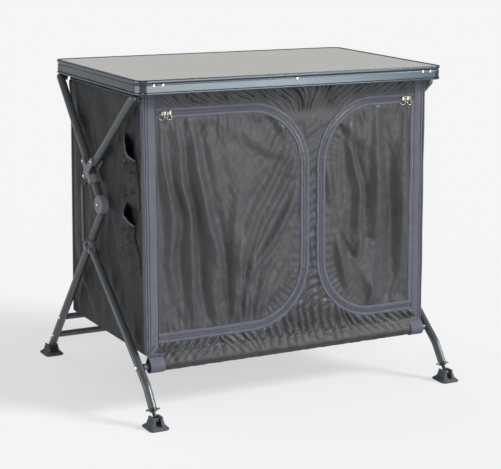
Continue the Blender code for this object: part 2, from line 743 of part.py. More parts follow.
def make_leg_bracket(side):
    """Sleeve on the rear leg with a tongue for the front leg and a headed stud for the stay."""
    name = "leg_bracket_" + side_name(side)
    half = LOWER_DIR * (SLEEVE_LENGTH / 2)
    outer = TUBE_RADIUS + CLEAR + SLEEVE_WALL
    sleeve = pipe(name, [in_side(side * TUBE_X, STUD + s) for s in (-half, half)], outer, CAST_GREY)
    edge = math.atan2(-LOWER_NORMAL.y, -LOWER_NORMAL.x)
    tip = arc(LEG_PIVOT, TONGUE_TIP, edge - math.pi / 2, edge + math.pi / 2, 8)
    root = [STUD + LOWER_DIR * TONGUE_TIP, STUD - LOWER_DIR * TONGUE_TIP]
    if (tip[-1] - root[0]).length > (tip[-1] - root[1]).length:
        root.reverse()
    web = xs(side, TUBE_X - TONGUE_THICK / 2, TUBE_X + TONGUE_THICK / 2)
    fuse(sleeve, loft("tongue_" + name, side_rings(tip + root, *web)))
    past = half + LOWER_DIR * OVERRUN
    cut(sleeve, pipe("way_through_" + name, [in_side(side * TUBE_X, STUD + s) for s in (-past, past)],
                     TUBE_RADIUS + CLEAR))
    stud_start = TUBE_X + TUBE_RADIUS + CLEAR + SLEEVE_WALL / 2
    head_start = HOOK_X + HOOK_THICK + RUN_GAP
    stud_end = head_start + STUD_HEAD
    fuse(sleeve, disc("stud_" + name, STUD, STUD_RADIUS, *xs(side, stud_start, stud_end), sides=12))
    fuse(sleeve, disc("stud_head_" + name, STUD, STUD_HEAD_RADIUS, *xs(side, head_start, stud_end),
                      sides=12))
    seat = TUBE_RADIUS + CLEAR
    head = seat + RIVET_HEAD
    fuse(sleeve, disc("pivot_pin_" + name, LEG_PIVOT, RIVET_RADIUS,
                      *xs(side, TUBE_X - head, TUBE_X + head), sides=12))
    for word, out in (("outer", 1), ("inner", -1)):
        fuse(sleeve, disc("%s_pivot_head_%s" % (word, name), LEG_PIVOT, RIVET_HEAD_RADIUS,
                          *xs(side, TUBE_X + out * seat, TUBE_X + out * head), sides=12))


def front_leg_path():
    """Centre line of a front leg from its pivot to its lower end, with the bend rounded."""
    angle = LEG_DIR.angle(LEG_END_DIR)
    trim = BEND_RADIUS * math.tan(angle / 2)
    start = BEND - LEG_DIR * trim
    inward = left_of(LEG_DIR)
    if inward.dot(LEG_END_DIR) < 0:
        inward = -inward
    centre = start + inward * BEND_RADIUS
    first = math.atan2(-inward.y, -inward.x)
    turn = angle if left_of(LEG_DIR).dot(LEG_END_DIR) > 0 else -angle
    return [LEG_PIVOT] + arc(centre, BEND_RADIUS, first, first + turn, BEND_STEPS) + [LEG_TIP]


def make_front_leg_tube(side):
    name = "front_leg_tube_" + side_name(side)
    path = front_leg_path()
    head = round_end_rings(side, path[0], path[1], TUBE_RADIUS)
    rest = pipe_rings([in_side(side * TUBE_X, p) for p in path], TUBE_RADIUS)[1:]
    tube = loft(name, head[:-1] + rest, TUBE_GREY, smooth=40)
    slot_low = LEG_PIVOT - LEG_DIR * (TUBE_RADIUS + OVERRUN)
    slot_end = LEG_PIVOT + LEG_DIR * SLOT_DEPTH
    wide = left_of(LEG_DIR) * (TUBE_RADIUS + OVERRUN)
    slot = [slot_low - wide, slot_end - wide, slot_end + wide, slot_low + wide]
    room = TONGUE_THICK / 2 + CLEAR
    cut(tube, loft("slot_" + name, side_rings(slot, *xs(side, TUBE_X - room, TUBE_X + room))))
    cut(tube, disc("hole_" + name, LEG_PIVOT, RIVET_RADIUS + CLEAR, *through_tube(side), sides=12))
    bore = [LEG_TIP - LEG_END_DIR * (STEM_SINK + CLEAR), LEG_TIP + LEG_END_DIR * OVERRUN]
    cut(tube, pipe("stem_bore_" + name, [in_side(side * TUBE_X, p) for p in bore],
                   STEM_RADIUS + CLEAR, sides=12))


def make_cross_tubes():
    end = TUBE_X - TUBE_RADIUS - CLEAR
    for name, p in (("rear_crossbar_upper", REAR_CROSS_UPPER),
                    ("rear_crossbar_lower", REAR_CROSS_LOWER), ("front_crossbar", FRONT_CROSS)):
        disc(name, p, CROSS_RADIUS, -end, end, TUBE_GREY, sides=16)


def make_stay(side):
    """Rod from the hub's eye, bowed outward past the knee, to a hook plate on the leg's stud."""
    name = "stay_" + side_name(side)
    eye = disc(name, HUB_REAR, EYE_RADIUS, *xs(side, TUBE_X - EYE_THICK / 2, TUBE_X + EYE_THICK / 2),
               TUBE_GREY, sides=16)
    rod_end = STAY_LENGTH - HOOK_LENGTH / 2 + STAY_RADIUS
    stations = [(PIN_RADIUS, TUBE_X), (JOG_START, TUBE_X), (JOG_END, STAY_X), (rod_end, STAY_X)]
    fuse(eye, pipe("rod_of_" + name, [in_side(side * x, HUB_REAR + STAY_DIR * s) for s, x in stations],
                   STAY_RADIUS, sides=STAY_SIDES))
    across = left_of(STAY_DIR) * (HOOK_WIDTH / 2)
    down = STAY_DIR * (HOOK_LENGTH / 2)
    plate = [STUD - down - across, STUD + down - across, STUD + down + across, STUD - down + across]
    fuse(eye, loft("hook_of_" + name, side_rings(plate, *xs(side, HOOK_X, HOOK_X + HOOK_THICK))))
    fit = STUD_RADIUS + RUN_GAP
    out = heading(HOOK_MOUTH)
    far = STUD + out * HOOK_LENGTH
    slot = [far - left_of(out) * (fit + RUN_GAP), far + left_of(out) * (fit + PIN_RADIUS)]
    slot += arc(STUD, fit, HOOK_MOUTH + math.pi / 2, HOOK_MOUTH + math.pi * 3 / 2, 8)
    way = xs(side, HOOK_X - OVERRUN, HOOK_X + HOOK_THICK + OVERRUN)
    cut(eye, loft("hook_slot_" + name, side_rings(slot, *way)))
    cut(eye, disc("eye_hole_" + name, HUB_REAR, RIVET_RADIUS + CLEAR,
                  *xs(side, TUBE_X - EYE_THICK, TUBE_X + EYE_THICK), sides=10))


# Feet

def pad_rings(centre_x, centre_y):
    levels = [(0, PAD_WIDTH - PAD_THICK / 2, PAD_LENGTH - PAD_THICK / 2),
              (PAD_THICK / 4, PAD_WIDTH, PAD_LENGTH), (PAD_THICK, PAD_WIDTH, PAD_LENGTH),
              (PAD_SHOULDER_Z, PAD_SHOULDER_WIDTH, PAD_SHOULDER_LENGTH),
              (PAD_HEIGHT - PAD_THICK, PAD_NECK_WIDTH, PAD_NECK_LENGTH),
              (PAD_HEIGHT, PAD_NECK_WIDTH, PAD_NECK_LENGTH)]
    rings = []
    for z, w, l in levels:
        radius = PAD_CORNER * w / PAD_WIDTH
        rings.append([Vector((centre_x + p.x, centre_y + p.y, z))
                      for p in rounded_rectangle(w / 2, l / 2, radius, 3)])
    return rings


def make_foot(name, side, pin, slot_half):
    """Flared pad whose two ears hold a cross pin."""
    pad = loft(name, pad_rings(side * TUBE_X, pin.x), FOOT_GREY, smooth=50)
    low_x, high_x = sorted(xs(side, TUBE_X - slot_half, TUBE_X + slot_half))
    cut(pad, box("slot_of_" + name, (low_x, pin.x - PAD_LENGTH, PAD_FLOOR_Z),
                 (high_x, pin.x + PAD_LENGTH, PAD_HEIGHT + OVERRUN)))
    fuse(pad, disc("pin_of_" + name, pin, FOOT_PIN_RADIUS,
                   *xs(side, TUBE_X - slot_half - OVERRUN, TUBE_X + slot_half + OVERRUN), sides=10))


def make_stem(side):
    """Levelling stem: a rod in the leg's end and an eye on the foot's pin."""
    name = "foot_stem_" + side_name(side)
    half = STEM_EYE_WIDTH / 2
    eye = disc(name, FRONT_FOOT, STEM_EYE_RADIUS, *xs(side, TUBE_X - half, TUBE_X + half),
               BLACK_PLASTIC, sides=16)
    rod = [FRONT_FOOT - LEG_END_DIR * PIN_RADIUS, LEG_TIP - LEG_END_DIR * STEM_SINK]
    fuse(eye, pipe("rod_of_" + name, [in_side(side * TUBE_X, p) for p in rod], STEM_RADIUS, sides=12))
    cut(eye, disc("hole_of_" + name, FRONT_FOOT, FOOT_PIN_RADIUS + CLEAR,
                  *xs(side, TUBE_X - half - OVERRUN, TUBE_X + half + OVERRUN), sides=10))


def make_nut(side):
    """Winged nut at the lower end of a front leg."""
    name = "foot_nut_" + side_name(side)
    near = LEG_TIP + LEG_END_DIR * CLEAR
    far = near + LEG_END_DIR * NUT_THICK
    body = pipe(name, [in_side(side * TUBE_X, near), in_side(side * TUBE_X, far)], NUT_RADIUS,
                BLACK_PLASTIC, sides=16)
    across = left_of(LEG_END_DIR) * WING_WIDTH / 2
    deep = near + LEG_END_DIR * WING_THICK
    section = [near - across, deep - across, deep + across, near + across]
    fuse(body, loft("wings_of_" + name,
                    side_rings(section, *xs(side, TUBE_X - WING_REACH, TUBE_X + WING_REACH))))
    way = [near - LEG_END_DIR * OVERRUN, far + LEG_END_DIR * OVERRUN]
    cut(body, pipe("way_of_" + name, [in_side(side * TUBE_X, p) for p in way], STEM_RADIUS + CLEAR,
                   sides=12))


# Fabric cabinet

def front_panel_rings(outline, depth_near, depth_far):
    """An (x, z) outline on the leaning front, between two depths behind its face."""
    return [[Vector((p.x, lean_y(p.y) + d, p.y)) for p in outline] for d in (depth_near, depth_far)]


def zip_outline(inner_x, hinge_x, grow):
    """Door outline: straight at the hinge, round corners at its free side."""
    out = 1 if inner_x > hinge_x else -1
    low, high = ZIP_BOTTOM_Z - grow, ZIP_TOP_Z + grow
    edge = inner_x + out * grow
    radius = ZIP_CORNER + grow
    top = Vector((edge - out * radius, high - radius))
    bottom = Vector((edge - out * radius, low + radius))
    points = [Vector((hinge_x, high))]
    for i in range(ZIP_CORNER_STEPS + 1):
        turn = math.pi / 2 * i / ZIP_CORNER_STEPS
        points.append(top + Vector((out * math.sin(turn), math.cos(turn))) * radius)
    for i in range(ZIP_CORNER_STEPS + 1):
        turn = math.pi / 2 * i / ZIP_CORNER_STEPS
        points.append(bottom + Vector((out * math.cos(turn), -math.sin(turn))) * radius)
    points.append(Vector((hinge_x, low)))
    return points


DOORS = ((-1, LEFT_ZIP_INNER_X), (1, RIGHT_ZIP_INNER_X))
HEM_TOP_Z = FRONT_CROSS_Z + HEM_RADIUS + CLEAR


def make_fabric_walls():
    side_front = lean_y(FABRIC_TOP_Z) + CLOTH + CLEAR
    bottom_front = lean_y(FABRIC_BOTTOM_Z) + CLOTH + CLEAR
    outline = [Vector((side_front, FABRIC_TOP_Z)), Vector((bottom_front, FABRIC_BOTTOM_Z)),
               Vector((FABRIC_REAR_Y, FABRIC_BOTTOM_Z)), Vector((FABRIC_REAR_Y, FABRIC_TOP_Z))]
    for side in (-1, 1):
        loft("fabric_side_" + side_name(side),
             side_rings(outline, *xs(side, FABRIC_HALF - CLOTH, FABRIC_HALF)), CHARCOAL)
    inside = FABRIC_HALF - CLOTH - CLEAR
    box("fabric_rear", (-inside, FABRIC_REAR_Y - CLOTH, FABRIC_BOTTOM_Z),
        (inside, FABRIC_REAR_Y, FABRIC_TOP_Z), CHARCOAL)
    rim = [Vector((-FABRIC_HALF, HEM_TOP_Z)), Vector((FABRIC_HALF, HEM_TOP_Z)),
           Vector((FABRIC_HALF, FABRIC_TOP_Z)), Vector((-FABRIC_HALF, FABRIC_TOP_Z))]
    front = loft("fabric_front", front_panel_rings(rim, 0, CLOTH), CHARCOAL)
    for side, inner_x in DOORS:
        hinge = side * DOOR_HINGE_X
        hole = zip_outline(inner_x, hinge, DOOR_GAP / 2)
        cut(front, loft("door_hole_" + side_name(side),
                        front_panel_rings(hole, -OVERRUN, CLOTH + OVERRUN)))


def make_doors():
    for side, inner_x in DOORS:
        hinge = side * (DOOR_HINGE_X - DOOR_GAP / 2)
        outline = zip_outline(inner_x, hinge, -DOOR_GAP / 2)
        loft("door_" + side_name(side), front_panel_rings(outline, 0, CLOTH), CHARCOAL)


def make_level(name, x0, x1, z0, z1):
    """A sheet inside the cabinet, from its front panel to its rear panel."""
    rear = FABRIC_REAR_Y - CLOTH - CLEAR
    gap = CLOTH + CLEAR
    section = [Vector((lean_y(z0) + gap, z0)), Vector((rear, z0)), Vector((rear, z1)),
               Vector((lean_y(z1) + gap, z1))]
    return loft(name, side_rings(section, x0, x1), CHARCOAL)


def make_inside():
    """Floor, shelf and divider. The shelf and the divider are notched into each other."""
    inside = FABRIC_HALF - CLOTH - CLEAR
    half = CLOTH / 2
    low = FABRIC_BOTTOM_Z + FLOOR_RISE
    floor_top = low + SHELF_THICK
    shelf_top = SHELF_Z + SHELF_THICK
    make_level("fabric_floor", -inside, inside, low, floor_top)
    shelf = make_level("shelf", -inside, inside, SHELF_Z, shelf_top)
    divider = make_level("divider", DIVIDER_X - half, DIVIDER_X + half, floor_top + CLEAR,
                         RAIL_TOP_Z - RAIL_HEIGHT - CLEAR)
    cut(shelf, box("shelf_notch",
                   (DIVIDER_X - half - CLEAR, lean_y(SHELF_Z) - OVERRUN, SHELF_Z - OVERRUN),
                   (DIVIDER_X + half + CLEAR, NOTCH_Y + CLEAR, shelf_top + OVERRUN)))
    cut(divider, box("divider_notch", (DIVIDER_X - CLOTH, NOTCH_Y - CLEAR, SHELF_Z - CLEAR),
                     (DIVIDER_X + CLOTH, FABRIC_REAR_Y, shelf_top + CLEAR)))


def sleeve_rings(x0, x1, inner, outer):
    """A round cloth sleeve along X about the front cross tube, as a split ring section."""
    section = []
    for radius, sign in ((outer, 1), (inner, -1)):
        for i in range(HEM_STEPS + 1):
            share = i / HEM_STEPS
            turn = HEM_SPLIT + (2 * math.pi - 2 * HEM_SPLIT) * (share if sign > 0 else 1 - share)
            section.append(FRONT_CROSS + heading(turn + math.pi / 4) * radius)
    return side_rings(section, x0, x1)


def make_hem():
    """Hem sleeve round the front cross tube."""
    loft("hem_sleeve", sleeve_rings(-FABRIC_HALF, FABRIC_HALF, HEM_RADIUS - HEM_WALL, HEM_RADIUS),
         CHARCOAL, smooth=35)


def pocket_point(u, v, mouth_z, depth):
    """A point on a pocket: u from front to rear, v from mouth to bottom, depth off its face."""
    y = POCKET_FRONT_Y + POCKET_WIDTH * u
    fall = MOUTH_FALL * (1 - u)
    z = mouth_z - fall - (POCKET_HEIGHT - fall) * v
    bulge = POCKET_BULGE * math.sin(math.pi * u) * math.cos(math.pi / 2 * v) ** BULGE_POWER
    x = -(FABRIC_HALF + POCKET_LIFT + bulge + depth)
    return Vector((x, y, z))


def rim_of(skin):
    """The outer loop of a grid of vertices."""
    loop = list(skin[0]) + [row[-1] for row in skin[1:]]
    return loop + list(reversed(skin[-1][:-1])) + [row[0] for row in reversed(skin[1:-1])]


def make_pocket(name, mouth_z):
    """Bulged pouch on the left panel, open at its sloping mouth."""
    bm = bmesh.new()
    columns = [i / POCKET_COLUMNS for i in range(POCKET_COLUMNS + 1)]
    rows = [j / POCKET_ROWS for j in range(POCKET_ROWS + 1)]
    rims = []
    for depth in (0, CLOTH):
        skin = [[bm.verts.new(pocket_point(u, v, mouth_z, depth)) for u in columns]
                for v in rows]
        for row, below in zip(skin, skin[1:]):
            for i in range(POCKET_COLUMNS):
                bm.faces.new((row[i], row[i + 1], below[i + 1], below[i]))
        rims.append(rim_of(skin))
    inner, outer = rims
    for i in range(len(inner)):
        j = (i + 1) % len(inner)
        bm.faces.new((inner[i], inner[j], outer[j], outer[i]))
    finished(name, bm, CHARCOAL, smooth=60)


# Zip sliders and pulls

SLIDER_FACE = RUN_GAP
SLIDER_TOP = SLIDER_FACE + SLIDER_THICK
PULL_AXIS = SLIDER_TOP + PULL_WIRE / 2 + RUN_GAP
PULL_Z = ZIP_TOP_Z


def slider_x(side, index):
    return side * (DOOR_HINGE_X - SLIDER_FIRST - SLIDER_PITCH * index)


def front_box_rings(x0, x1, z0, z1, out0, out1):
    """A box on the leaning front, between two distances in front of its face."""
    outline = [Vector((x0, z0)), Vector((x1, z0)), Vector((x1, z1)), Vector((x0, z1))]
    return front_panel_rings(outline, -out1, -out0)


def make_sliders(side):
    """A pair of sliders nose to nose on a door's zip, each with a bridge for its pull."""
    name = "zip_sliders_" + side_name(side)
    wide = SLIDER_WIDTH / 2
    first, second = slider_x(side, 0), slider_x(side, 1)
    ends = sorted((first + side * SLIDER_LENGTH / 2, second - side * SLIDER_LENGTH / 2))
    pair = loft(name, front_box_rings(*ends, PULL_Z - wide, PULL_Z + wide, SLIDER_FACE, SLIDER_TOP),
                PLAIN_STEEL)
    waist = (first + second) / 2
    nose = SLIDER_NOSE
    for word, z in (("lower", PULL_Z - wide), ("upper", PULL_Z + wide)):
        cut(pair, loft("%s_nose_of_%s" % (word, name),
                       front_box_rings(waist - nose, waist + nose, z - nose, z + nose,
                                       0, SLIDER_TOP + OVERRUN)))
    hole = PULL_WIRE / 2 + RUN_GAP
    for word, x in (("outer", first), ("inner", second)):
        bridge = loft("%s_bridge_of_%s" % (word, name),
                      front_box_rings(x - BRIDGE_HALF, x + BRIDGE_HALF, PULL_Z - BRIDGE_REACH,
                                      PULL_Z + BRIDGE_REACH, SLIDER_TOP - CLEAR,
                                      PULL_AXIS + hole + BRIDGE_THICK))
        cut(bridge, loft("%s_way_of_%s" % (word, name),
                         front_box_rings(x - SLIDER_LENGTH, x + SLIDER_LENGTH, PULL_Z - hole,
                                         PULL_Z + hole, SLIDER_TOP, PULL_AXIS + hole)))
        fuse(pair, bridge)


def pull_path(x):
    """Centre line of a ring pull as (point, outward direction): flat at the top, round below."""
    half = (PULL_WIDTH - PULL_WIRE) / 2
    low = PULL_Z - (PULL_DROP - PULL_WIRE)
    top_z = PULL_Z - PULL_TURN
    corners = [(Vector((x + half - PULL_TURN, top_z)), PULL_TURN, 0),
               (Vector((x - half + PULL_TURN, top_z)), PULL_TURN, 1),
               (Vector((x, low + half)), half, 2), (Vector((x, low + half)), half, 3)]
    path = []
    for centre, radius, quarter in corners:
        steps = range(4) if quarter < 3 else range(1, 4)
        for step in steps:
            out = heading(math.pi / 2 * (quarter + step / 3))
            path.append((centre + out * radius, out))
    return path


def make_pull(side):
    """Wire ring that hangs from the bridge of the outer slider, as rings round its path."""
    bm = bmesh.new()
    axis_y = lean_y(PULL_Z) - PULL_AXIS
    wire = PULL_WIRE / 2
    loops = []
    for p, out in pull_path(slider_x(side, 0)):
        ring = []
        for k in range(PULL_SIDES):
            turn = heading(2 * math.pi * k / PULL_SIDES) * wire
            q = p + out * turn.x
            ring.append(bm.verts.new((q.x, axis_y + turn.y, q.y)))
        loops.append(ring)
    for low, high in zip(loops, loops[1:] + loops[:1]):
        for i in range(PULL_SIDES):
            j = (i + 1) % PULL_SIDES
            bm.faces.new((low[i], low[j], high[j], high[i]))
    finished("zip_pull_" + side_name(side), bm, PLAIN_STEEL, smooth=60)


# Joints: each moving body hangs on an empty that stands on its axis

def carry(name, place, pieces):
    pivot = bpy.data.objects.new("pivot_" + name, None)
    pivot.location = place
    bpy.context.collection.objects.link(pivot)
    bpy.context.view_layer.update()
    for piece in pieces:
        thing = bpy.data.objects[piece]
        thing.parent = pivot
        thing.matrix_parent_inverse = pivot.matrix_world.inverted()


def both(name):
    return [name + "_left", name + "_right"]


def make_joints():
    carry("rear_upper", in_side(0, REAR_TOP),
          both("rear_upper_tube") + both("hub") + both("knee_upper"))
    carry("rear_legs", in_side(0, KNEE), both("rear_leg_tube") + both("knee_lower") +
          both("leg_bracket") + ["rear_crossbar_upper", "rear_crossbar_lower"])
    carry("front_legs", in_side(0, LEG_PIVOT),
          both("front_leg_tube") + ["front_crossbar", "hem_sleeve"])
    for side in (-1, 1):
        word = side_name(side)
        x = side * TUBE_X
        carry("front_upper_" + word, in_side(x, HUB_FRONT), ["front_upper_tube_" + word])
        carry("stay_" + word, in_side(x, HUB_REAR), ["stay_" + word])
        carry("foot_front_" + word, in_side(x, FRONT_FOOT), ["foot_front_" + word])
        carry("foot_rear_" + word, in_side(x, REAR_FOOT), ["foot_rear_" + word])
        carry("foot_stem_" + word, in_side(x, LEG_TIP), ["foot_stem_" + word])
        carry("foot_nut_" + word, in_side(x, LEG_TIP), ["foot_nut_" + word])
        hinge = side * DOOR_HINGE_X
        carry("door_" + word, Vector((hinge, lean_y(SHELF_Z), SHELF_Z)), ["door_" + word])
        place = Vector((slider_x(side, 0), lean_y(PULL_Z) - PULL_AXIS, PULL_Z))
        carry("zip_sliders_" + word, place, ["zip_sliders_" + word])
        carry("zip_pull_" + word, place, ["zip_pull_" + word])


def main():
    clear_scene()
    make_board()
    make_edges()
    make_under_frame()
    for side in (-1, 1):
        make_brackets(side)
        make_rear_upper_tube(side)
        make_hub(side)
        make_knee_upper(side)
        make_front_upper_tube(side)
        make_rear_leg_tube(side)
        make_knee_lower(side)
        make_leg_bracket(side)
        make_front_leg_tube(side)
        make_stay(side)
        make_foot("foot_rear_" + side_name(side), side, REAR_FOOT, TUBE_RADIUS + CLEAR)
        make_foot("foot_front_" + side_name(side), side, FRONT_FOOT, STEM_EYE_WIDTH / 2 + CLEAR)
        make_stem(side)
        make_nut(side)
        make_sliders(side)
        make_pull(side)
    make_cross_tubes()
    make_fabric_walls()
    make_inside()
    make_hem()
    make_pocket("pocket_upper", UPPER_MOUTH_Z)
    make_pocket("pocket_lower", LOWER_MOUTH_Z)
    make_doors()
    make_joints()


main()
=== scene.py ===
# %% [markdown]
# # A folding camping cupboard
#
# The real thing is a worktop on two folding tube frames, with a cloth cabinet hung under it.
# The CAD model already has the worktop, the tubes, the hubs and the feet at their real sizes.
# Here they get their finishes, and the cloth, zips, tapes and rivets are made in full.

# %% Load the fixed frame
import math

import bmesh
import bpy
import numpy as np
from mathutils import Matrix, Vector


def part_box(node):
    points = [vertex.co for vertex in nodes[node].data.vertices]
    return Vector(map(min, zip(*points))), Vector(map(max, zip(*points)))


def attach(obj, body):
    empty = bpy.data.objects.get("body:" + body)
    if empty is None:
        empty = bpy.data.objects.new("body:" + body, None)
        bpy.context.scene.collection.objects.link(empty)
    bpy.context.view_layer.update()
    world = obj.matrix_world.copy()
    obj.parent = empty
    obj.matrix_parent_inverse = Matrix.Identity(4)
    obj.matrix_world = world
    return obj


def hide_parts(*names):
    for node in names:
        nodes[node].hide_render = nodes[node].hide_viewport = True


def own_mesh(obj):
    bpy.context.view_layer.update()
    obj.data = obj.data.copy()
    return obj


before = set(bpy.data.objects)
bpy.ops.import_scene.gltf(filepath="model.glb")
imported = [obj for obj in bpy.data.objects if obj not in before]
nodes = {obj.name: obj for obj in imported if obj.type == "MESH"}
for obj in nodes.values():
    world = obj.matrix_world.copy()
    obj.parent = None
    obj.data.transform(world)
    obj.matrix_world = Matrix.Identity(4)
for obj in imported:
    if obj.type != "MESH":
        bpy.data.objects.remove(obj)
bpy.ops.object.select_all(action="DESELECT")
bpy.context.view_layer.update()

# %% [markdown]
# ## Camera
#
# The place and heading of the camera come from a fit to the worktop's corners and the feet.
# A long lens far away gives the weak perspective of a product photograph. The picture is
# 501 pixels wide, so a focal length in pixels becomes a lens in millimetres on a 36 mm sensor.

# %% Camera
def new_object(name, data):
    made = bpy.data.objects.new(name, data)
    bpy.context.scene.collection.objects.link(made)
    return made


SENSOR = 36.0
FOCAL_PIXELS, PICTURE_WIDE = 1544.86, 501
HEADING, PITCH, ROLL = math.radians(28.607), math.radians(12.577), math.radians(0.7495)
look = Vector((math.sin(HEADING) * math.cos(PITCH), math.cos(HEADING) * math.cos(PITCH),
               -math.sin(PITCH)))
level = look.cross(Vector((0, 0, 1))).normalized()
right = math.cos(ROLL) * level + math.sin(ROLL) * level.cross(look)
above = right.cross(look)

camera = new_object("photo_camera", bpy.data.cameras.new("photo_camera"))
camera.data.sensor_width = SENSOR
camera.data.lens = FOCAL_PIXELS * SENSOR / PICTURE_WIDE
camera.matrix_world = Matrix((right, above, -look)).transposed().to_4x4()
camera.location = (-1.852, -3.422, 1.2236)
bpy.context.scene.camera = camera
bpy.context.scene.view_settings.view_transform = "Standard"
print("lens", round(camera.data.lens, 1), "mm")

# %% [markdown]
# ## Colours and nodes
#
# Colours are written as sRGB hex values, the way a picture editor shows them, and one function
# turns them into the linear values that the shader works with. One more function adds a node
# with its settings and its links, so that a material reads as a short list.

# %% Colour and node helpers
def linear(code):
    channels = [int(code[i:i + 2], 16) / 255 for i in (1, 3, 5)]
    return (*[c / 12.92 if c <= 0.04045 else ((c + 0.055) / 1.055) ** 2.4 for c in channels], 1.0)


def add(tree, kind, settings=None, links=None):
    made = tree.nodes.new("ShaderNode" + kind)
    for name, value in (settings or {}).items():
        if isinstance(name, int) or name in made.inputs:
            made.inputs[name].default_value = value
        else:
            setattr(made, name, value)
    for name, source in (links or {}).items():
        tree.links.new(source, made.inputs[name])
    return made


def start_material(name, **values):
    """A new material with its shader's plain values set, and its node tree and shader."""
    material = bpy.data.materials.new(name)
    material.use_nodes = True
    shader = material.node_tree.nodes["Principled BSDF"]
    for socket, value in values.items():
        shader.inputs[socket.replace("_", " ")].default_value = value
    return material, material.node_tree, shader


# %% [markdown]
# ## Studio
#
# The photograph has a pale even background, a soft shadow under the cupboard and a light that
# comes mostly from the front right: the left side is clearly darker. A wide floor and the world
# share one pale colour, and wide suns give even light with soft shadows wherever they fall.
#
# The metal is lit in its own way. It mirrors two low bright panels whose diffuse light is off, so
# that they leave the cloth alone, and a world that is dimmer than the one the camera sees.

# %% Floor and world
PALE = linear("#f2f2f2")

floor_paint, tree, shader = start_material("studio_floor", Roughness=1.0)
tree.nodes.remove(shader)
path = add(tree, "LightPath")
seen = add(tree, "Math", {"operation": "MAXIMUM"},
           {0: path.outputs["Is Camera Ray"], 1: path.outputs["Is Glossy Ray"]})
seen = add(tree, "Math", {"operation": "MAXIMUM"},
           {0: seen.outputs[0], 1: path.outputs["Is Transmission Ray"]})
glow = add(tree, "Emission", {"Color": PALE, "Strength": 0.657})
matt = add(tree, "BsdfDiffuse", {"Color": (0.38, 0.38, 0.38, 1)})
shown = add(tree, "AddShader", None, {0: glow.outputs[0], 1: matt.outputs[0]})
plain = add(tree, "BsdfDiffuse", {"Color": (0.80, 0.80, 0.80, 1)})
choice = add(tree, "MixShader", None,
             {0: seen.outputs[0], 1: plain.outputs[0], 2: shown.outputs[0]})
tree.links.new(choice.outputs[0], tree.nodes["Material Output"].inputs["Surface"])

bpy.ops.mesh.primitive_circle_add(vertices=96, radius=60, fill_type="NGON", location=(0, 0, 0))
floor = bpy.context.object
floor.name = "studio_floor"
floor.data.materials.append(floor_paint)

world = bpy.data.worlds.new("studio")
bpy.context.scene.world = world
world.use_nodes = True
tree = world.node_tree
tree.nodes.clear()
path = add(tree, "LightPath")
backdrop = add(tree, "Background", {"Color": PALE, "Strength": 1.0})
room = add(tree, "Background", {"Color": (1.0, 1.0, 1.0, 1), "Strength": 0.24})
dim = add(tree, "Background", {"Color": (0.9, 0.95, 1.0, 1), "Strength": 0.28})
seen = add(tree, "MixShader", None,
           {0: path.outputs["Is Glossy Ray"], 1: room.outputs[0], 2: dim.outputs[0]})
seen = add(tree, "MixShader", None,
           {0: path.outputs["Is Camera Ray"], 1: seen.outputs[0], 2: backdrop.outputs[0]})
add(tree, "OutputWorld", None, {"Surface": seen.outputs[0]})


# %% Lamps
def sun(name, towards, strength, width):
    """A wide sun. Towards is the direction from the cupboard to the lamp."""
    lamp = new_object(name, bpy.data.lights.new(name, "SUN"))
    lamp.data.energy = strength
    lamp.data.angle = math.radians(width)
    lamp.rotation_euler = Vector(towards).to_track_quat("Z", "Y").to_euler()
    print("lamp", name, strength)


def strip(name, place, target, wide, high, power):
    """A lit panel standing low on the studio floor, which the worktop's edge mirrors."""
    data = bpy.data.lights.new(name, "AREA")
    lamp = new_object(name, data)
    data.shape, data.size, data.size_y, data.energy = "RECTANGLE", wide, high, power
    lamp.visible_diffuse = lamp.visible_camera = False
    lamp.location = place
    lamp.rotation_euler = (Vector(place) - Vector(target)).to_track_quat("Z", "Y").to_euler()
    print("lamp", name, power)


sun("key", (1.0, -0.74, 0.84), 2.75, 20)
sun("front_left", (-0.42, -0.90, 0.36), 0.60, 10)
sun("rear_fill", (-0.3, 1.0, 1.0), 0.35, 60)
strip("panel_front", (1.02, -2.56, 0.62), (0.0, -0.25, 0.78), 1.30, 0.90, 25.0)
strip("panel_left", (-2.60, -0.09, 0.62), (-0.4, -0.24, 0.78), 2.60, 0.90, 24.0)

# %% [markdown]
# ## Hard finishes
#
# Each finish is named for what it is on the real cupboard. The worktop is a printed laminate,
# the edge an extruded and anodised profile, the tubes are powder coated, the joints are moulded
# and the feet are rubber. Patterns read Object coordinates in metres, so a scale of 1000 has
# about one feature in each millimetre.


# %% Laminate
def object_space(tree, scale=(1, 1, 1)):
    place = add(tree, "TexCoord")
    return add(tree, "Mapping", {"Scale": scale}, {"Vector": place.outputs["Object"]}).outputs[0]


def colour_between(tree, shader, value, low, high, end):
    """Colours the shader from low to high, two hex colours, as value rises from 0.35 to end."""
    ramp = add(tree, "ValToRGB", None, {"Fac": value})
    for element, at, code in zip(ramp.color_ramp.elements, (0.35, end), (low, high)):
        element.position = at
        element.color = linear(code)
    tree.links.new(ramp.outputs[0], shader.inputs["Base Color"])


def bump(tree, shader, height, distance, strength=1.0):
    relief = add(tree, "Bump", {"Strength": strength, "Distance": distance}, {"Height": height})
    tree.links.new(relief.outputs[0], shader.inputs["Normal"])


def vary_roughness(tree, shader, vector, scale, low, high):
    blotch = add(tree, "TexNoise", {"Scale": scale, "Detail": 3.0}, {"Vector": vector})
    span = add(tree, "MapRange", {"To Min": low, "To Max": high}, {"Value": blotch.outputs["Fac"]})
    tree.links.new(span.outputs[0], shader.inputs["Roughness"])


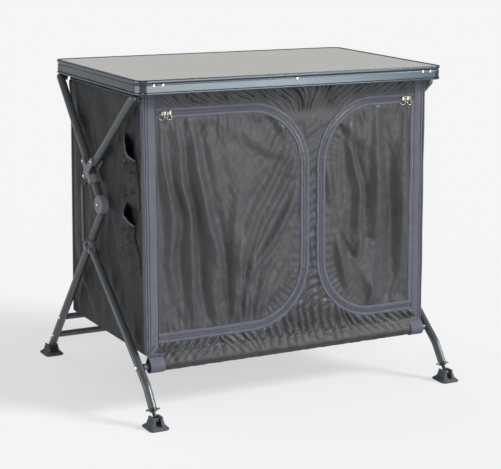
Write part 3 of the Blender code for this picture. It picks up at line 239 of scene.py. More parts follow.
def grained(name, low, high, scale, relief, blotch, rough, detail=2.0, stretch=None, **values):
    """A fine grain of two colours, its relief as (height, strength), and blotches of gloss."""
    material, tree, shader = start_material(name, **values)
    space = object_space(tree)
    fine = object_space(tree, stretch) if stretch else space
    grain = add(tree, "TexNoise", {"Scale": scale, "Detail": detail}, {"Vector": fine})
    colour_between(tree, shader, grain.outputs["Fac"], low, high, 0.65)
    if relief:
        bump(tree, shader, grain.outputs["Fac"], *relief)
    vary_roughness(tree, shader, space, blotch, *rough)
    return material


# High pressure laminate: a fine printed fleck under a melamine skin with a satin pebble
LAMINATE = grained("grey_laminate", "#c6c4c0", "#d1cfcb", 900, (0.00008, 0.4), 9, (0.40, 0.50),
                   IOR=1.5)

# %% Metal, mouldings and rubber
# Extruded profile: faint drawing lines run along it, so the noise is fine in height only
ANODISED = grained("anodised_aluminium", "#434a4f", "#4f565b", 1.0, (0.00003, 0.5), 14,
                   (0.25, 0.31), stretch=(4, 4, 1400), Metallic=1.0)
# Satin powder coat: an orange peel of about 1 mm and small changes in gloss
POWDER = grained("grey_powder_coat", "#53575b", "#5f6468", 1100, (0.00006, 0.5), 30, (0.30, 0.42),
                 Metallic=0.35, IOR=1.5)
# Glass filled nylon: spark eroded grain of about half a millimetre, nearly matt
MOULDED = grained("grey_filled_nylon", "#74777c", "#818489", 1800, (0.00010, 0.6), 40,
                  (0.50, 0.62), IOR=1.52)
# Black nylon: the stems and wing nuts, a little glossier where they are handled
NYLON = grained("black_nylon", "#17181a", "#222426", 1500, (0.00006, 0.5), 60, (0.34, 0.50),
                IOR=1.52)
# Rubber: moulded feet, matt, paler where dust sits in the grain
RUBBER = grained("grey_rubber", "#474e54", "#555c62", 700, (0.00012, 0.6), 50, (0.62, 0.78),
                 detail=4.0, IOR=1.48)
# Nickel plate on zinc: the zip hardware, bright with worn duller patches
NICKEL = grained("nickel_plated_zinc", "#8f8576", "#cdc6b9", 420, (0.00004, 0.4), 500,
                 (0.14, 0.28), detail=3.0, Metallic=1.0)
# Bright aluminium: drawn rivets, a turned face with a fine ring grain
RIVET = grained("bright_rivet_aluminium", "#d9dcdd", "#f0f1f1", 1200, (0.00003, 0.4), 700,
                (0.28, 0.42), Metallic=1.0)

# %% Paint the CAD nodes
FINISHES = [("worktop_board", LAMINATE), ("edge_", ANODISED), ("under_brace", ANODISED),
            ("fabric_rail", NYLON), ("rear_bracket", MOULDED), ("front_catch", MOULDED),
            ("rear_upper_tube", POWDER), ("front_upper_tube", POWDER), ("rear_leg_tube", POWDER),
            ("front_leg_tube", POWDER), ("rear_crossbar", POWDER), ("front_crossbar", POWDER),
            ("stay_", POWDER), ("hub_", MOULDED), ("knee_", MOULDED), ("leg_bracket", MOULDED),
            ("foot_stem", NYLON), ("foot_nut", NYLON), ("foot_", RUBBER), ("zip_", NICKEL)]


def paint(piece, material):
    piece.data.materials.clear()
    piece.data.materials.append(material)


painted = 0
for name, node in nodes.items():
    for start, material in FINISHES:
        if name.startswith(start):
            paint(node, material)
            painted += 1
            break
print("painted CAD nodes:", painted)

# %% [markdown]
# ## Worktop edge
#
# The edge is an extruded profile with a crowned bead along its top and its foot, a soft cove
# under the top bead and a flat band between them. Four lengths meet four corners. A loop of edges
# takes the shape of the section, and is then extruded into a length or spun into a corner.

# %% Edge section
EDGE_FOOT = 0.766
EDGE_X, EDGE_Y = 0.420, 0.255
CORNER_REACH, JOINT = 0.025, 0.0003


def crowned(base, high, crown=0.0014, steps=8):
    """A bead's outer face as (inward, up): nearly flat in its middle and round at both edges."""
    return [(crown - crown * math.sin(math.pi * i / steps) ** 0.3, base + high * i / steps)
            for i in range(steps + 1)]


def edge_section():
    outer = crowned(0.0, 0.0058) + [(0.0026, 0.0059), (0.0026, 0.0072), (0.0014, 0.0073)]
    outer += [(0.0014, 0.0215), (0.0022, 0.0222), (0.0028, 0.0240), (0.0022, 0.0260)]
    outer += crowned(0.0266, 0.0074)
    lip = [(0.0060, 0.0340), (0.0060, 0.0326), (0.0048, 0.0326), (0.0048, 0.0220)]
    channel = [(0.0220, 0.0220), (0.0220, 0.0198), (0.0048, 0.0198), (0.0048, 0.0022),
               (0.0220, 0.0022), (0.0220, 0.0)]
    return outer + lip + channel


def section_ring(name, place, outward):
    """The section as a closed loop of edges, left selected in edit mode."""
    points = edge_section()
    bpy.ops.object.select_all(action="DESELECT")
    bpy.ops.mesh.primitive_circle_add(vertices=len(points), radius=0.01)
    piece = bpy.context.object
    piece.name = name
    for corner, (inward, up) in zip(piece.data.vertices, points):
        corner.co = Vector(place) - inward * Vector(outward) + Vector((0, 0, EDGE_FOOT + up))
    bpy.ops.object.mode_set(mode="EDIT")
    bpy.ops.mesh.select_all(action="SELECT")
    return piece


def close_ends():
    bpy.ops.mesh.select_all(action="SELECT")
    bpy.ops.mesh.fill_holes(sides=0)
    bpy.ops.mesh.select_all(action="SELECT")
    bpy.ops.mesh.normals_make_consistent(inside=False)
    bpy.ops.object.mode_set(mode="OBJECT")
    bpy.ops.object.shade_smooth_by_angle(angle=math.radians(38))


def copy_turned(master, name, movement):
    copy = new_object(name, master.data.copy())
    copy.data.transform(movement)
    return copy


def finish_edge(piece, node):
    paint(piece, ANODISED)
    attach(piece, "top")
    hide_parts(node)
    print("edge piece", piece.name, len(piece.data.polygons), "faces")


# %% Edge lengths and corners
half_turn = Matrix.Rotation(math.pi, 4, "Z")
run_x = EDGE_X - CORNER_REACH - JOINT
run_y = EDGE_Y - CORNER_REACH - JOINT
lengths = (("front", (-run_x, -EDGE_Y, 0), (0, -1, 0), (2 * run_x, 0, 0), "rear"),
           ("left", (-EDGE_X, -run_y, 0), (-1, 0, 0), (0, 2 * run_y, 0), "right"))
for word, place, outward, run, opposite in lengths:
    bar = section_ring("profile_" + word, place, outward)
    bpy.ops.mesh.extrude_region_move(TRANSFORM_OT_translate={"value": run})
    close_ends()
    twin = copy_turned(bar, "profile_" + opposite, half_turn)
    finish_edge(bar, "edge_" + word)
    finish_edge(twin, "edge_" + opposite)

first = Vector((-EDGE_X + CORNER_REACH, -EDGE_Y + CORNER_REACH, 0))
bend = section_ring("profile_corner_front_left", first - Vector((CORNER_REACH, 0, 0)), (-1, 0, 0))
bpy.ops.mesh.spin(steps=16, angle=-math.pi / 2, center=first, axis=(0, 0, 1))
close_ends()
places = (("front_right", (-first.x, first.y, 0), 1), ("rear_right", (-first.x, -first.y, 0), 2),
          ("rear_left", (first.x, -first.y, 0), 3))
for word, centre, quarters in places:
    turn = Matrix.Rotation(quarters * math.pi / 2, 4, "Z")
    moved = Matrix.Translation(centre) @ turn @ Matrix.Translation(-first)
    finish_edge(copy_turned(bend, "profile_corner_" + word, moved), "edge_corner_" + word)
finish_edge(bend, "edge_corner_front_left")

# %% [markdown]
# ## Cloth finishes
#
# The front and the doors are a light coated polyester with a soft sheen, the sides and back a
# heavier woven cloth with a diagonal rib, and all seams are bound with a blue grey ribbed tape.
# Their threads follow each piece's own UV map, which is in metres of flat cloth. Threads of a
# quarter of a millimetre can't show at this picture size, so each weave is drawn coarser.


# %% Woven materials
def weave(tree, across, along, turn=0.0):
    """A crossing of threads of those widths in metres, from 0 to 1, turned in the cloth's plane."""
    flat = add(tree, "UVMap", {"uv_map": "flat"})
    place = add(tree, "Mapping", {"Rotation": (0, 0, turn)}, {"Vector": flat.outputs[0]})
    split = add(tree, "SeparateXYZ", None, {0: place.outputs[0]})
    waves = []
    for axis, width in ((0, across), (1, along)):
        scaled = add(tree, "Math", {"operation": "MULTIPLY", 1: math.pi / width},
                     {0: split.outputs[axis]})
        waves.append(add(tree, "Math", {"operation": "SINE"}, {0: scaled.outputs[0]}))
    both = add(tree, "Math", {"operation": "MULTIPLY"},
               {0: waves[0].outputs[0], 1: waves[1].outputs[0]})
    return add(tree, "MapRange", {"From Min": -1.0, "From Max": 1.0}, {"Value": both.outputs[0]})


def cloth_material(name, low, high, across, along, turn, depth, rough, sheen):
    """Woven cloth: two thread shades, uneven dye over some centimetres, relief and sheen."""
    material, tree, shader = start_material(
        name, IOR=1.45, Sheen_Weight=sheen, Sheen_Roughness=0.4, Sheen_Tint=linear("#c8cbd6"))
    threads = weave(tree, across, along, turn)
    flat = add(tree, "UVMap", {"uv_map": "flat"})
    dye = add(tree, "TexNoise", {"Scale": 28.0, "Detail": 4.0}, {"Vector": flat.outputs[0]})
    blend = add(tree, "Math", {"operation": "MULTIPLY_ADD", 1: 0.5},
                {0: threads.outputs[0], 2: dye.outputs["Fac"]})
    colour_between(tree, shader, blend.outputs[0], low, high, 1.0)
    bump(tree, shader, threads.outputs[0], depth, 0.6)
    vary_roughness(tree, shader, flat.outputs[0], 35, rough - 0.05, rough + 0.05)
    return material


# Coated taffeta: plain weave, smooth, with a broad soft shine on its folds
TAFFETA = cloth_material("coated_polyester_taffeta", "#353539", "#46464b",
                         0.0020, 0.0020, 0.0, 0.00012, 0.47, 0.14)
# The same taffeta, darker, for the hem: its colour is a painted shade, where the gathered hem lies in
# shade
SHADED_TAFFETA = cloth_material("polyester_taffeta_painted_shade", "#26262b", "#35353b",
                          0.0020, 0.0020, 0.0, 0.00012, 0.52, 0.06)
# Oxford: heavier, duller, with a diagonal rib
OXFORD = cloth_material("polyester_oxford", "#222224", "#363638",
                        0.0040, 0.0120, math.radians(40), 0.00030, 0.58, 0.06)
OXFORD.node_tree.nodes["Principled BSDF"].inputs["Specular IOR Level"].default_value = 0.32
# Grosgrain binding: ribs across the tape
BINDING = cloth_material("ribbed_binding_tape", "#535662", "#656874",
                         0.0200, 0.0026, 0.0, 0.00026, 0.70, 0.10)
# Zip tape: a dense flat weave that the coil is sewn to
ZIP_TAPE = cloth_material("woven_zip_tape", "#31343c", "#41444d",
                          0.0014, 0.0024, 0.0, 0.00012, 0.68, 0.08)
# Painted shade: a near black cloth inside each pouch and on the side panel behind its mouth, where
# the inside of a pocket lies in shade
POCKET_SHADE = cloth_material("black_pocket_lining", "#060607", "#0b0b0c",
                        0.0020, 0.0020, 0.0, 0.00008, 0.60, 0.0)

# Nylon coil: the zip's teeth, a grey monofilament with a slight gloss
COIL = grained("nylon_zip_coil", "#5a5d66", "#6e717b", 600, None, 200, (0.38, 0.50), IOR=1.53)

# %% [markdown]
# ## Sizes of the cloth cabinet
#
# The numbers repeat the CAD model's: the cloth hangs inside the tubes, its front leans a little,
# and each door is straight at its hinge with two round corners at its free side.

# %% Cabinet sizes
HALF = 0.388
REAR_Y = 0.218
FRONT_Y = -0.215
LEAN = 0.035
TOP_Z = 0.780
BOTTOM_Z = 0.144
SHELF_Z = 0.455
DIVIDER_X = 0.06305
BAR = Vector((0.0, -0.2413, 0.121))
ZIP_HIGH, ZIP_LOW, ZIP_RADIUS = 0.718, 0.184, 0.150
DOORS = {"left": (-0.358, DIVIDER_X - 0.022), "right": (0.358, DIVIDER_X + 0.024)}
# Which way a door's free side lies from its hinge, and the sign of x on each side
OUT = {"left": 1, "right": -1}
SIDES = ((-1, "left"), (1, "right"))
CLOTH = 0.0008
TAPE_HALF = 0.012
SIDE_DEEP, INSIDE_DEEP = 0.433, 0.42


def lean_y(z):
    return FRONT_Y - (TOP_Z - z) * LEAN


def smooth_step(t):
    t = np.clip(t, 0.0, 1.0)
    return t * t * (3 - 2 * t)


# %% [markdown]
# ## Folds
#
# Cloth that is sewn to a zip or a tape is never flat. Long soft folds cross the doors, short
# puckers stand at the seams, and the strips above and below the doors are drawn into slanted
# pleats. A cloth simulation gives folds in places of its own choosing. Here each fold is laid
# along a line where the real one is seen, and slow random ripples join them.

# %% Fold helpers
def ripple(x, z, seed, wave_x, wave_z, waves=10):
    """Smooth random relief of about -1 to 1, with those usual wavelengths in metres."""
    chance = np.random.default_rng(seed)
    total = np.zeros(np.shape(x))
    for _ in range(waves):
        kx = 2 * math.pi / wave_x * chance.normal(0, 0.8)
        kz = 2 * math.pi / wave_z * chance.normal(0, 0.8)
        total = total + np.sin(kx * x + kz * z + chance.uniform(0, 2 * math.pi))
    return total / math.sqrt(waves)


def crease(x, z, line, width, height):
    """One fold along a broken line, fading to its ends. Everything here is in millimetres."""
    nearest = np.full(x.shape, 1e6)
    along = np.zeros(x.shape)
    lengths = [math.dist(a, b) for a, b in zip(line, line[1:])]
    done = 0.0
    for (x0, z0), (x1, z1), length in zip(line, line[1:], lengths):
        dx, dz = x1 - x0, z1 - z0
        t = np.clip(((x - x0) * dx + (z - z0) * dz) / length ** 2, 0, 1)
        off = np.hypot(x - x0 - t * dx, z - z0 - t * dz)
        along = np.where(off < nearest, (done + t * length) / sum(lengths), along)
        nearest = np.minimum(off, nearest)
        done += length
    fade = np.sin(np.pi * np.clip(along, 0.03, 0.97)) ** 0.5
    return height * fade * np.exp(-(nearest / (1.4 * width)) ** 2.2)


def creases(x, z, folds):
    """All folds of a list, in metres."""
    wander = 5.0 * ripple(x, z, 5, 0.12, 0.20)
    total = sum(crease(x * 1000 + wander, z * 1000, line, width, height)
                for line, width, height in folds)
    return total / 1000


def zip_frame(x, z, side):
    """For each point, the run along a door's zip in metres and the way in from it, in metres."""
    hinge, inner = DOORS[side]
    out = OUT[side]
    a = (inner - x) * out
    top, low = ZIP_HIGH - z, z - ZIP_LOW
    b = np.minimum(top, low)
    r = ZIP_RADIUS
    flat = abs(inner - hinge) - r
    height = ZIP_HIGH - ZIP_LOW
    quarter = math.pi / 2 * r
    upper = top < low
    corner = (a < r) & (b < r)
    angle = np.arctan2(r - a, r - b)
    into = np.where(corner, r - np.hypot(r - a, r - b), np.minimum(a, b))
    near_top = (x - hinge) * out
    run = np.where(corner, flat + angle * r, np.where(a < b, flat + quarter + top - r, near_top))
    whole = 2 * flat + 2 * quarter + height - 2 * r
    mirrored = whole - np.where(corner, flat + angle * r, near_top)
    run = np.where(upper | (~corner & (a < b)), run, mirrored)
    return run, into


def pucker(run, away, wave, reach, height, seed):
    """Small pleats that stand square to a seam and die out away from it."""
    phase = 2 * math.pi * run / wave + 2.2 * ripple(run, run * 0, seed, 0.09, 1.0)
    strength = 0.45 + 0.55 * np.abs(ripple(run, run * 0, seed + 1, 0.06, 1.0))
    return height * strength * np.sin(phase) * np.exp(-(np.maximum(away, 0) / reach) ** 1.5)


# %% Where the folds lie
# Each fold is a line of (x, z) points in millimetres, a half width and a height
DOOR_FOLDS = {
    "left": [
        ([(-353, 686), (-326, 501), (-316, 273)], 9, 4.0),
        ([(-338, 664), (-305, 500), (-288, 270)], 8, -3.0),
        ([(-307, 612), (-281, 479), (-263, 230)], 10, 4.5),
        ([(-287, 625), (-257, 477), (-234, 260)], 9, -3.5),
        ([(-268, 690), (-236, 549), (-201, 323), (-194, 239)], 12, 5.5),
        ([(-200, 491), (-176, 321), (-177, 237)], 14, -4.0),
        ([(-182, 632), (-146, 556)], 20, 1.5),
        ([(-190, 698), (-120, 643), (-40, 604)], 14, 1.6),
        ([(-140, 640), (-60, 590), (29, 568)], 10, -1.2),
        ([(-20, 607), (23, 540)], 16, 2.5),
        ([(21, 512), (-50, 399), (-147, 270)], 9, 5.0),
        ([(25, 470), (-30, 385), (-110, 290)], 9, -3.5),
        ([(-105, 464), (-139, 354), (-160, 238)], 11, 4.0),
        ([(-222, 700), (-236, 682), (-241, 662)], 2.2, 1.6),
        ([(-280, 317), (-262, 215)], 8, 2.2),
        ([(-220, 330), (-210, 205)], 7, 2.6),
        ([(-159, 314), (-154, 205)], 7, 2.6),
        ([(17, 312), (-98, 215)], 9, 2.6),
        ([(-47, 302), (-143, 215)], 9, 2.4),
        ([(-60, 700), (-35, 655)], 6, -2.4),
        ([(-25, 690), (-12, 640)], 6, 2.2),
    ],
    "right": [
        ([(245, 700), (246, 604), (243, 511), (250, 362)], 11, 5.0),
        ([(322, 640), (327, 465), (330, 230)], 13, 4.5),
        ([(283, 640), (288, 430), (293, 220)], 14, -4.5),
        ([(151, 663), (215, 614)], 12, 3.0),
        ([(161, 625), (189, 516), (199, 394)], 9, 5.0),
        ([(180, 620), (207, 500), (214, 410)], 8, -3.0),
        ([(145, 399), (186, 325)], 4, -3.0),
        ([(186, 325), (208, 385)], 5, 3.0),
        ([(136, 392), (150, 313), (164, 245)], 9, 4.0),
        ([(217, 377), (252, 358)], 7, -1.6),
        ([(209, 307), (238, 213)], 10, 2.8),
        ([(238, 271), (227, 200)], 6, 2.0),
        ([(313, 252), (295, 196)], 6, 2.0),
        ([(104, 560), (130, 470)], 10, 2.0),
        ([(130, 672), (152, 640)], 5, -3.0),
    ],
}


# How deep the listed folds are laid, so that light and shade on each door are as strong as seen
FOLD_DEPTH = {"left": 2.2, "right": 2.5}


def door_relief(x, z, side):
    """How far a door's cloth stands out of its plane, in metres."""
    run, into = zip_frame(x, z, side)
    past = into - TAPE_HALF
    hinge = DOORS[side][0]
    from_hinge = np.abs(x - hinge)
    open_cloth = smooth_step(past / 0.030) * smooth_step((from_hinge - 0.006) / 0.020)
    near_zip = smooth_step((past + 0.002) / 0.010) * smooth_step((from_hinge - 0.004) / 0.012)
    relief = FOLD_DEPTH[side] * creases(x, z, DOOR_FOLDS[side]) * near_zip
    relief = np.where(relief < 0, np.tanh(relief / 0.008) * 0.008, relief)
    drift = 0.0 if side == "right" else 0.15 - 0.75 * smooth_step((x + 0.20) / 0.14)
    phase = x - drift * (0.45 - z)
    streaks = 0.0026 * ripple(phase, z, 21, 0.055, 0.60)
    streaks = streaks + 0.0028 * (0.5 - np.abs(ripple(phase, z, 23, 0.085, 0.70)))
    relief = relief + streaks * open_cloth
    relief = relief + 0.00040 * ripple(x, z, 22, 0.016, 0.030, 14) * near_zip
    at_top = smooth_step((z - 0.56) / 0.06)
    at_foot = smooth_step((0.34 - z) / 0.06)
    relief = relief + pucker(run, past, 0.0160, 0.034, 0.0011, 31) * near_zip * at_top
    relief = relief + pucker(run, past, 0.0180, 0.040, 0.0013, 33) * near_zip * at_foot
    relief = relief + pucker(run, past, 0.0260, 0.026, 0.0007, 35) * near_zip
    return relief


def swell(x):
    """How far the cloth above the hem is pushed out by the tube, where no tape holds it."""
    return 0.0050 * smooth_step((0.338 - np.abs(x)) / 0.025)


def rear_edge(z):
    """The rear corners of the cabinet are drawn back a little just below the worktop."""
    return REAR_Y + 0.0100 * smooth_step((z - 0.695) / 0.045)


def foot_pleats(x, z):
    """The pleats that the hem draws into the cloth above it, from -0.5 to 0.5."""
    turn = (1.1 * smooth_step((-0.185 - x) / 0.02) - 0.9 * smooth_step((x - 0.13) / 0.08)
            - 1.0 * smooth_step((x + 0.205) / 0.02) * smooth_step((-0.06 - x) / 0.08))
    phase = x - turn * (z - 0.160) + 0.005 * ripple(x, z, 47, 0.09, 0.10)
    return np.abs(np.sin(math.pi * phase / 0.022)) - 0.5


def frame_relief(x, z):
    """The same for the cloth round the doors: its top strip, middle column and bottom strip."""
    away = np.full(x.shape, 1.0)
    for side in DOORS:
        into = zip_frame(x, z, side)[1]
        away = np.minimum(away, np.where(np.abs(x) < HALF, -into - TAPE_HALF, 1.0))
    clear = smooth_step((away + 0.002) / 0.008)
    slant = 1.5 * np.tanh((0.045 - x) / 0.09)
    phase = x + slant * (z - 0.745) + 0.006 * ripple(x, z, 41, 0.10, 0.10)
    band = smooth_step((0.766 - z) / 0.008) * smooth_step((z - 0.690) / 0.030)
    tops = (np.abs(np.sin(math.pi * phase / 0.021)) - 0.5) * 0.0046
    tops = tops + np.sin(2 * math.pi * phase / 0.0083 + 1.0) * 0.0011
    relief = tops * band * clear * (0.55 + 0.45 * np.abs(ripple(x, z, 43, 0.07, 0.2)))
    in_column = smooth_step((z - 0.19) / 0.05) * smooth_step((0.70 - z) / 0.04)
    steps = z - 0.55 * (x - 0.063) + 0.004 * ripple(x, z, 45, 0.05, 0.08)
    strength = 0.35 + 0.65 * smooth_step((0.42 - z) / 0.15)
    relief = relief + 0.0022 * np.sin(2 * math.pi * steps / 0.024) * in_column * clear * strength
    relief = relief + 0.0014 * ripple(x, z, 48, 0.030, 0.050) * in_column * clear
    lows = smooth_step((0.250 - z) / 0.06) * smooth_step((z - 0.1465) / 0.009)
    fine = np.sin(2 * math.pi * (x + 0.6 * z) / 0.0086 + 2.0 * ripple(x, z, 50, 0.06, 0.10))
    relief = relief + (0.0066 * foot_pleats(x, z) + 0.0007 * fine) * lows * clear
    relief = relief + 0.0012 * ripple(x, z, 49, 0.06, 0.06) * clear * lows
    return relief + swell(x) * smooth_step((0.170 - z) / 0.030)


# %% [markdown]
# ## Building a sheet
#
# A sheet starts as a fine grid over its flat cut. Points near a curved edge are moved onto it, so
# the edge is clean, and the squares outside it are dropped. Each point is then lifted by the
# folds. Solidify gives the cloth its thickness, and the UV map keeps the flat position, so that
# the weave follows the cloth.

# %% Sheet maker
def only(piece):
    bpy.ops.object.select_all(action="DESELECT")
    piece.select_set(True)
    bpy.context.view_layer.objects.active = piece


def steps_between(low, high, step):
    return np.linspace(low, high, max(2, round((high - low) / step) + 1))


def snapped(u, v, inside, step):
    """Moves the points within half a step of the cut's edge onto it."""
    tiny = 1e-5
    for _ in range(2):
        d = inside(u, v)
        near = np.abs(d) < step * 0.55
        gu = (inside(u + tiny, v) - d) / tiny
        gv = (inside(u, v + tiny) - d) / tiny
        size = np.maximum(gu ** 2 + gv ** 2, 0.25)
        u = np.where(near, u - d * gu / size, u)
        v = np.where(near, v - d * gv / size, v)
    return u, v, np.where(near, 0.0, inside(u, v))


def make_sheet(name, across, down, place, outward, material, inside=None, thick=CLOTH):
    u, v = np.meshgrid(across, down, indexing="ij")
    depth = np.ones(u.shape)
    if inside is not None:
        u, v, depth = snapped(u, v, inside, across[1] - across[0])
    points = np.stack(place(u, v), axis=-1).reshape(-1, 3)
    flat = np.stack((u, v), axis=-1).reshape(-1, 2)
    depth = depth.reshape(-1)
    number = np.arange(u.size).reshape(u.shape)
    quads = np.stack((number[:-1, :-1], number[1:, :-1], number[1:, 1:], number[:-1, 1:]), axis=-1)
    faces = []
    for quad in quads.reshape(-1, 4).tolist():
        kept = [i for i in quad if depth[i] > -1e-6]
        if len(kept) >= 3 and max(depth[i] for i in kept) > 1e-6:
            faces.append(kept)
    mesh = bpy.data.meshes.new(name)
    mesh.from_pydata(points.tolist(), [], faces)
    layer = mesh.uv_layers.new(name="flat")
    corners = np.zeros(len(mesh.loops), dtype=np.int32)
    mesh.loops.foreach_get("vertex_index", corners)
    layer.data.foreach_set("uv", flat[corners].astype(np.float32).reshape(-1))
    piece = new_object(name, mesh)
    tidy = bmesh.new()
    tidy.from_mesh(mesh)
    bmesh.ops.delete(tidy, geom=[p for p in tidy.verts if not p.link_faces], context="VERTS")
    turned = sum((f.normal * f.calc_area() for f in tidy.faces), Vector()).dot(Vector(outward)) < 0
    if turned:
        bmesh.ops.reverse_faces(tidy, faces=tidy.faces)
    tidy.to_mesh(mesh)
    tidy.free()
    only(piece)
    solid = piece.modifiers.new("thickness", "SOLIDIFY")
    solid.thickness = thick
    solid.offset = -1
    bpy.ops.object.modifier_apply(modifier=solid.name)
    bpy.ops.object.shade_smooth_by_angle(angle=math.radians(60))
    paint(piece, material)
    print("sheet", name, len(mesh.polygons), "faces")
    return piece


def scale_flat(piece, across, down):
    """Brings the UV map of a sheet that was laid out in shares of its size to metres."""
    for corner in piece.data.uv_layers["flat"].data:
        corner.uv = (corner.uv.x * across, corner.uv.y * down)


def hang(piece, body):
    """Cloth that rides a body, with a mesh of its own."""
    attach(piece, body)
    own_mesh(piece)


def sew(piece, body="top"):
    """A tape or trim, which hangs like the cloth that it is sewn to."""
    hang(piece, body)


# %% [markdown]
# ## Front cloth and doors
#
# The front is one sheet with two D shaped openings, and each door is a D of the same cloth. The
# edges of both lie under the zip's tapes.

# %% Front cloth
GRID = 0.003


def around_doors(x, z):
    """Distance into the front cloth: positive outside both doors' openings."""
    depth = np.full(np.shape(x), 1.0)
    for side, (hinge, inner) in DOORS.items():
        into = zip_frame(x, z, side)[1]
        out = OUT[side]
        depth = np.minimum(depth, -np.minimum(into - 0.001, (x - hinge) * out))
    return depth


front = make_sheet("front_cloth", steps_between(-HALF, HALF, 0.0020),
                   steps_between(0.1355, TOP_Z, GRID),
                   lambda x, z: (x, lean_y(z) - frame_relief(x, z), z),
                   (0, -1, 0), TAFFETA, around_doors)
hang(front, "top")
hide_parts("fabric_front")

# %% Doors
for side, (hinge, inner) in DOORS.items():
    out = OUT[side]

    def within(x, z, side=side, hinge=hinge, out=out):
        return np.minimum(zip_frame(x, z, side)[1] - 0.0045, (x - hinge) * out - 0.0005)

    low_x, high_x = sorted((hinge, inner))
    door = make_sheet("door_cloth_" + side, steps_between(low_x, high_x, GRID),
                      steps_between(ZIP_LOW, ZIP_HIGH, GRID),
                      lambda x, z, side=side: (x, lean_y(z) - door_relief(x, z, side), z),
                      (0, -1, 0), TAFFETA, within)
    hang(door, "door_" + side)
    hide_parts("door_" + side)

# %% [markdown]
# ## Zips
#
# Each zip is two woven tapes and a coil. One tape and its half of the teeth is sewn to the front
# cloth and stays there, and the other half swings with the door. A tape is a small section swept
# along the zip's line, and a tooth is a slanted bar that is copied every few millimetres.

# %% Zip line and sweeping
def zip_line(side, step=0.004):
    """Points along a zip as (x, z), the direction out of the door and the run so far."""
    hinge, inner = DOORS[side]
    out = OUT[side]
    r = ZIP_RADIUS
    end = inner - out * r
    stations = []
    for x in steps_between(0, abs(end - hinge), step)[:-1]:
        stations.append((hinge + out * x, ZIP_HIGH, 0, 1))
    for turn in steps_between(0, math.pi / 2, step / r)[:-1]:
        s, c = math.sin(turn), math.cos(turn)
        stations.append((end + out * s * r, ZIP_HIGH - r + c * r, out * s, c))
    for z in steps_between(0, ZIP_HIGH - ZIP_LOW - 2 * r, step)[:-1]:
        stations.append((inner, ZIP_HIGH - r - z, out, 0))
    for turn in steps_between(0, math.pi / 2, step / r)[:-1]:
        s, c = math.sin(turn), math.cos(turn)
        stations.append((end + out * c * r, ZIP_LOW + r - s * r, out * c, -s))
    for x in steps_between(0, abs(end - hinge), step):
        stations.append((end - out * x, ZIP_LOW, 0, -1))
    run = [0.0]
    for a, b in zip(stations, stations[1:]):
        run.append(run[-1] + math.dist(a[:2], b[:2]))
    return [(*station, s) for station, s in zip(stations, run)]


def finish_mesh(name, mesh, material):
    """A piece of that name and material from a mesh that was built face by face."""
    bmesh.ops.recalc_face_normals(mesh, faces=mesh.faces)
    data = bpy.data.meshes.new(name)
    mesh.to_mesh(data)
    mesh.free()
    piece = new_object(name, data)
    paint(piece, material)
    print(name, len(data.polygons), "faces")
    return piece


def swept(name, rings, lengths, widths, material):
    """A closed section joined from ring to ring, with a UV map of width and run in metres."""
    mesh = bmesh.new()
    layer = mesh.loops.layers.uv.new("flat")
    loops = [[mesh.verts.new(p) for p in ring] for ring in rings]
    count = len(rings[0])
    for k in range(len(loops) - 1):
        for i in range(count):
            j = (i + 1) % count
            face = mesh.faces.new((loops[k][i], loops[k][j], loops[k + 1][j], loops[k + 1][i]))
            spots = ((i, k), (i + 1, k), (i + 1, k + 1), (i, k + 1))
            for corner, (a, b) in zip(face.loops, spots):
                corner[layer].uv = (widths[a], lengths[b])
    mesh.faces.new(loops[0])
    mesh.faces.new(loops[-1])
    piece = finish_mesh(name, mesh, material)
    only(piece)
    bpy.ops.object.shade_smooth_by_angle(angle=math.radians(45))
    return piece


def section_widths(section):
    """The running width round a section, for its UV map."""
    widths = [0.0]
    for a, b in zip(section, section[1:] + section[:1]):
        widths.append(widths[-1] + math.dist(a, b))
    return widths


# %% Zip tapes
# A section is (out of the door, proud of the cloth) in metres: a folded binding with two ribs
TAPE_SECTION = [(0.0040, 0.0000), (0.0040, 0.0012), (0.0048, 0.0020), (0.0058, 0.0015),
                (0.0066, 0.0020), (0.0100, 0.0020), (0.0114, 0.0017), (0.0124, 0.0007),
                (0.0124, 0.0000)]


def tape_wave(run, seed):
    """The sewn tape is a little wavy: a shift sideways and a lift, in metres."""
    spot = np.array([run])
    zero = spot * 0
    return (float(0.0005 * ripple(spot, zero, seed, 0.05, 1.0)[0]),
            float(0.0003 * ripple(spot, zero, seed + 1, 0.022, 1.0)[0]))


def half_zip(kind, side, inward):
    """The name of one half's tape, teeth or backing, and its sign across the zip's line."""
    return "zip_%s_%s_%s" % (kind, "inner" if inward else "outer", side), -1 if inward else 1


def zip_tape(side, inward):
    name, sign = half_zip("tape", side, inward)
    line = zip_line(side)
    rings = []
    for x, z, nx, nz, run in line:
        shift, lift = tape_wave(run, 60 + inward * 2)
        ring = []
        for across, proud in TAPE_SECTION:
            a = sign * (across + shift * (across > 0.008))
            px, pz = x + nx * a, z + nz * a
            ring.append((px, lean_y(pz) - 0.0002 - proud - (lift if proud > 0 else 0), pz))
        rings.append(ring)
    return swept(name, rings, [p[4] for p in line], section_widths(TAPE_SECTION), BINDING)


# %% Zip teeth
TOOTH_PITCH = 0.0034
TOOTH_WIDE = 0.0026
TOOTH_SLANT = 0.0016
TOOTH_FORM = [(-1.0, 0.0), (-0.8, 0.7), (0.0, 1.0), (0.8, 0.7), (1.0, 0.0)]


